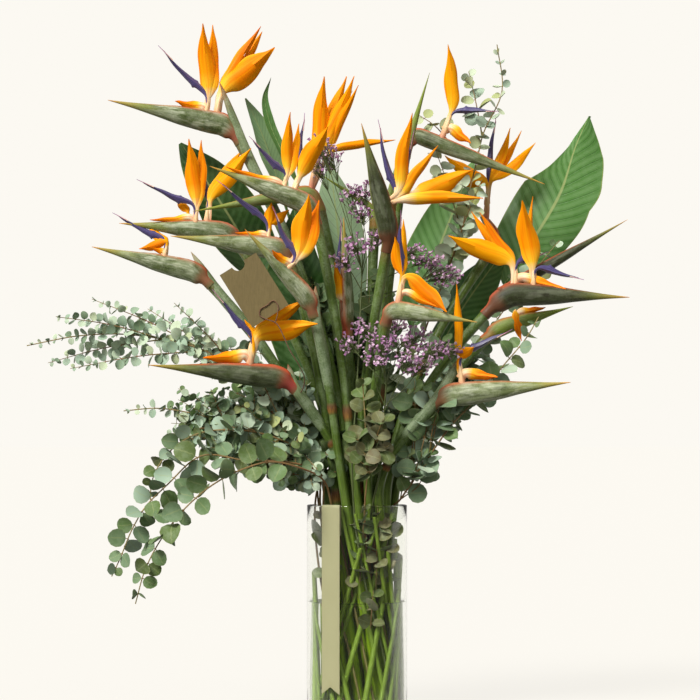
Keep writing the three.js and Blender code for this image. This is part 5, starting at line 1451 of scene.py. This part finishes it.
class FoliageSettings(bpy.types.PropertyGroup):
    leaf_thickness: length_property("Leaf thickness", "Thickness of a big leaf's blade", 0.0008)
    round_leaf_thickness: length_property("Round leaf", "Thickness of a eucalyptus leaf", 0.0006)
    vein_count: IntProperty(name="Veins", description="Side veins on each half of a leaf", default=19, min=4)
    vein_sweep: number_property("Sweep", "Lean of the side veins to the tip", 3.0)
    pair_spacing: number_property("Pair spacing", "Spacing of leaf pairs, in leaf breadths", 0.74, 0.3)
    lavender_florets: IntProperty(name="Florets", description="Florets on a lavender head", default=42, min=3)
    lavender_size: length_property("Floret size", "Length of a sea lavender floret", 0.004)
    leaf_colour: colour_property("Leaf", "Middle colour of the big leaves", 58, 108, 38)
    eucalyptus_colour: colour_property("Eucalyptus", "Main colour of the round leaves", 110, 136, 102)
    lavender_colour: colour_property("Sea lavender", "Main colour of the small flowers", 196, 146, 186)


class TrimSettings(bpy.types.PropertyGroup):
    ribbon_width: length_property("Ribbon width", "Width of the ribbon", 0.025)
    ribbon_length: length_property("Ribbon length", "Length of the ribbon before it was hung", 0.264)
    twine_diameter: length_property("Twine", "Diameter of the twine", 0.0014)
    twine_length: length_property("Twine length", "Length of the twine that shows", 0.180)
    ribbon_colour: colour_property("Ribbon", "Colour of the satin", 172, 170, 130)
    card_colour: colour_property("Card", "Colour of the tag's bronze print", 142, 125, 83)
    twine_colour: colour_property("Twine", "Colour of the twine", 122, 80, 50)


class StageSettings(bpy.types.PropertyGroup):
    backdrop_colour: colour_property("Backdrop", "Colour of the seamless background", 252, 249, 242)
    floor_share: number_property("Floor", "Share of the light that the floor gives back", 0.1)
    floor_glow: number_property("Floor glow", "Light that the floor gives by itself", 0.855)
    key_strength: number_property("Key", "Strength of the soft key light", 3.6)
    gloss_strength: number_property("Gloss", "Strength of the sky in reflections", 0.1)
    fill_strength: number_property("Fill", "Strength of the soft sky", 0.7)


GROUPS = {
    "vase": VaseSettings,
    "flowers": FlowerSettings,
    "foliage": FoliageSettings,
    "trim": TrimSettings,
    "stage": StageSettings,
}


def settings(context, name):
    """The scene's settings of one group."""
    return getattr(context.scene, "arrangement_" + name)


def link(context, name, data):
    """A new object in the scene for a mesh, a light or a camera."""
    item = bpy.data.objects.new(name, data)
    context.scene.collection.objects.link(item)
    return item


def plant(context, look, table, shape, finishes, seed, piece, node, slot):
    """One piece for each row of a table, each with its own seeded draws.

    A shape fills the skin. The names of the piece and of its CAD node are the row's name after piece
    and after node.
    """
    materials = [finish(look) for finish in finishes]
    height = settings(context, "vase").height / MM
    for k, (name, form) in enumerate(table.items()):
        skin = Skin()
        shape(skin, form, look, height, np.random.default_rng(seed + k))
        if skin.count:
            settle(skin.make(piece + name, materials), slot, node + name)
    return {"FINISHED"}


def rounded(edge, base, size, turn):
    """A corner of a profile: size times the sine out to the edge, size times the cosine down to the base."""
    return np.column_stack([edge - size + size * np.sin(turn), base + size - size * np.cos(turn)])


def round_body(name, profile, finish, slot, node):
    """A piece turned from a profile about the vase's axis."""
    skin = Skin()
    skin.add(turned_body(profile, VASE_AROUND), around_place(VASE_AROUND))
    settle(skin.make(name, [finish]), slot, node)


class ARRANGEMENT_OT_camera(bpy.types.Operator):
    """Stand the camera level with the vase, a little over three metres in front of it"""

    bl_idname = "arrangement.camera"
    bl_label = "Camera"

    def execute(self, context):
        camera = link(context, "Camera", bpy.data.cameras.new("Camera"))
        camera.data.lens = CAMERA_LENS
        camera.data.sensor_width = CAMERA_SENSOR
        camera.data.clip_end = CAMERA_FAR
        camera.location = CAMERA_PLACE
        camera.rotation_euler = (math.pi / 2 + CAMERA_RISE, 0, 0)
        context.scene.camera = camera
        return {"FINISHED"}


class ARRANGEMENT_OT_twine(bpy.types.Operator):
    """Tie the tag to a stalk with a loop of twine"""

    bl_idname = "arrangement.twine"
    bl_label = "Twine and tag"

    def execute(self, context):
        look = settings(context, "trim")
        path = spaced_path(TWINE, TWINE_ROWS)
        skin = Skin()
        cord_skin(skin, path, look.twine_diameter / MM / 2)
        piece = settle(skin.make("twine", [twine_look(look)]), "twine", "tag_twine")
        path[-1] * MM
        path * MM
        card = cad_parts["gift_tag"]
        card.data.materials.clear()
        card.data.materials.append(card_look(look))
        return {"FINISHED"}


class ARRANGEMENT_OT_vase(bpy.types.Operator):
    """Blow the glass cylinder and fill it with water"""

    bl_idname = "arrangement.vase"
    bl_label = "Vase and water"

    def execute(self, context):
        look = settings(context, "vase")
        outer, top, floor = look.radius / MM, look.height / MM, look.floor / MM
        inner, level = outer - look.wall / MM, look.water_level / MM
        corner, lip = np.linspace(0, np.pi / 2, 7), np.linspace(0, np.pi, 9)
        half = (outer - inner) / 2
        foot = rounded(outer, 0, FOOT_CORNER, corner)
        rim = np.column_stack([outer - half + half * np.cos(lip), top - half + half * np.sin(lip)])
        well = rounded(inner, floor, WELL_CORNER, np.pi / 2 - corner)
        walls = np.linspace(0, 1, WALL_ROWS)[1:-1, None]
        rise = foot[-1] + walls * (rim[0] - foot[-1])
        fall = rim[-1] + walls * (well[0] - rim[-1])
        glass = np.vstack([[POLE, 0.0], [outer * 0.6, 0], foot, rise, rim, fall, well, [outer * 0.6, floor],
                           [POLE, floor]])
        round_body("glass_vase", glass, glass_look(look), "glass", "vase")
        wet, bed = inner + WATER_ROOM, floor - WATER_ROOM
        bowl = rounded(wet, bed, WELL_CORNER, corner)
        up = corner[::-1]
        reach, lift = WATER_CLIMB
        climb = np.column_stack([wet - reach * (1 - np.cos(up)), level + lift * (1 - np.sin(up))])
        water = np.vstack([[POLE, bed], bowl, climb, [wet * 0.5, level], [POLE, level]])
        round_body("vase_water", water, water_look(look), "water", "water")
        return {"FINISHED"}


class ARRANGEMENT_OT_stems(bpy.types.Operator):
    """Grow each flower's stalk, its papery nodes, its spathe and its bract"""

    bl_idname = "arrangement.stems"
    bl_label = "Stalks and spathes"

    def execute(self, context):
        finishes = (stalk_look, spathe_look, bract_look, cuff_look)
        return plant(context, settings(context, "flowers"), FLOWERS, flower_stem, finishes, STEM_SEED,
                     "stem_", "stalk_", "stalk")


class ARRANGEMENT_OT_petals(bpy.types.Operator):
    """Open each flower: its floret bases, orange sepals and blue arrows"""

    bl_idname = "arrangement.petals"
    bl_label = "Sepals and arrows"

    def execute(self, context):
        finishes = (sepal_look, arrow_look, floret_base_look, stigma_look)
        return plant(context, settings(context, "flowers"), FLOWERS, flower_petals, finishes, PETAL_SEED,
                     "petals_", "florets_", "sepal")


class ARRANGEMENT_OT_leaves(bpy.types.Operator):
    """Stand the big veined leaves behind the flowers"""

    bl_idname = "arrangement.leaves"
    bl_label = "Big leaves"

    def execute(self, context):
        finishes = (big_leaf_look, petiole_look)
        return plant(context, settings(context, "foliage"), LEAVES, big_leaf, finishes, LEAF_SEED,
                     "blade_", "", "leaf")


class ARRANGEMENT_OT_eucalyptus(bpy.types.Operator):
    """Spread the eucalyptus branches with their pairs of round leaves"""

    bl_idname = "arrangement.eucalyptus"
    bl_label = "Eucalyptus"

    def execute(self, context):
        finishes = (round_leaf_look, twig_look)
        return plant(context, settings(context, "foliage"), BRANCHES, branch, finishes, BRANCH_SEED,
                     "spray_", "", "eucalyptus")


class ARRANGEMENT_OT_lavender(bpy.types.Operator):
    """Tuck the sea lavender in front of the stalks"""

    bl_idname = "arrangement.lavender"
    bl_label = "Sea lavender"

    def execute(self, context):
        finishes = (lavender_look, wiry_look)
        return plant(context, settings(context, "foliage"), LAVENDER, sea_lavender, finishes, LAVENDER_SEED,
                     "sea_", "", "lavender")


class ARRANGEMENT_OT_ribbon(bpy.types.Operator):
    """Hang the satin ribbon over the rim"""

    bl_idname = "arrangement.ribbon"
    bl_label = "Ribbon"

    def execute(self, context):
        look = settings(context, "trim")
        skin = Skin()
        ribbon_skin(skin, look, settings(context, "vase"))
        piece = settle(skin.make("satin_ribbon", [ribbon_look(look)]), "ribbon", "ribbon")
        return {"FINISHED"}


class ARRANGEMENT_OT_stage(bpy.types.Operator):
    """Lay the pale floor, and light it with a soft studio sky and a key light from the left"""

    bl_idname = "arrangement.stage"
    bl_label = "Stage"

    def execute(self, context):
        look = settings(context, "stage")
        floor = link(context, "floor", bpy.data.meshes.new("floor"))
        turn = TAU * np.arange(FLOOR_AROUND) / FLOOR_AROUND
        rim = FLOOR_RADIUS * np.column_stack([np.cos(turn), np.sin(turn), 0 * turn])
        floor.data.from_pydata(rim - FLOOR_GAP * UP, [], [list(range(FLOOR_AROUND))])
        floor.data.materials.append(floor_look(look))
        sun = link(context, "Key", bpy.data.lights.new("Key", "SUN"))
        sun.data.energy = look.key_strength
        sun.data.angle = KEY_SPREAD
        sun.data.color = KEY_COLOUR
        sun.rotation_euler = KEY_TURN
        world = bpy.data.worlds.new("Studio")
        context.scene.world = world
        world.use_nodes = True
        studio_sky(world.node_tree, look)
        context.scene.view_settings.view_transform = "Standard"
        return {"FINISHED"}


OPERATORS = (
    ARRANGEMENT_OT_camera,
    ARRANGEMENT_OT_twine,
    ARRANGEMENT_OT_vase,
    ARRANGEMENT_OT_stems,
    ARRANGEMENT_OT_petals,
    ARRANGEMENT_OT_leaves,
    ARRANGEMENT_OT_eucalyptus,
    ARRANGEMENT_OT_lavender,
    ARRANGEMENT_OT_ribbon,
    ARRANGEMENT_OT_stage,
)


class ARRANGEMENT_PT_panel(bpy.types.Panel):
    """Lists the settings and the steps of the arrangement"""

    bl_label = "Arrangement"
    bl_idname = "ARRANGEMENT_PT_panel"
    bl_space_type = "VIEW_3D"
    bl_region_type = "UI"
    bl_category = "Arrangement"

    def draw(self, context):
        for name, group in GROUPS.items():
            box = self.layout.box()
            box.label(text=name.capitalize())
            for key in group.__annotations__:
                box.prop(settings(context, name), key)
        for operator in OPERATORS:
            self.layout.operator(operator.bl_idname)


def register():
    for item in (*GROUPS.values(), *OPERATORS, ARRANGEMENT_PT_panel):
        bpy.utils.register_class(item)
    for name, group in GROUPS.items():
        setattr(bpy.types.Scene, "arrangement_" + name, PointerProperty(type=group))


def unregister():
    for name in GROUPS:
        delattr(bpy.types.Scene, "arrangement_" + name)
    for item in (ARRANGEMENT_PT_panel, *reversed(OPERATORS), *GROUPS.values()):
        bpy.utils.unregister_class(item)


def main():
    register()
    for operator in OPERATORS:
        getattr(bpy.ops.arrangement, operator.bl_idname.split(".")[1])()
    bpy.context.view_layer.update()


if __name__ == "__main__":
    main()
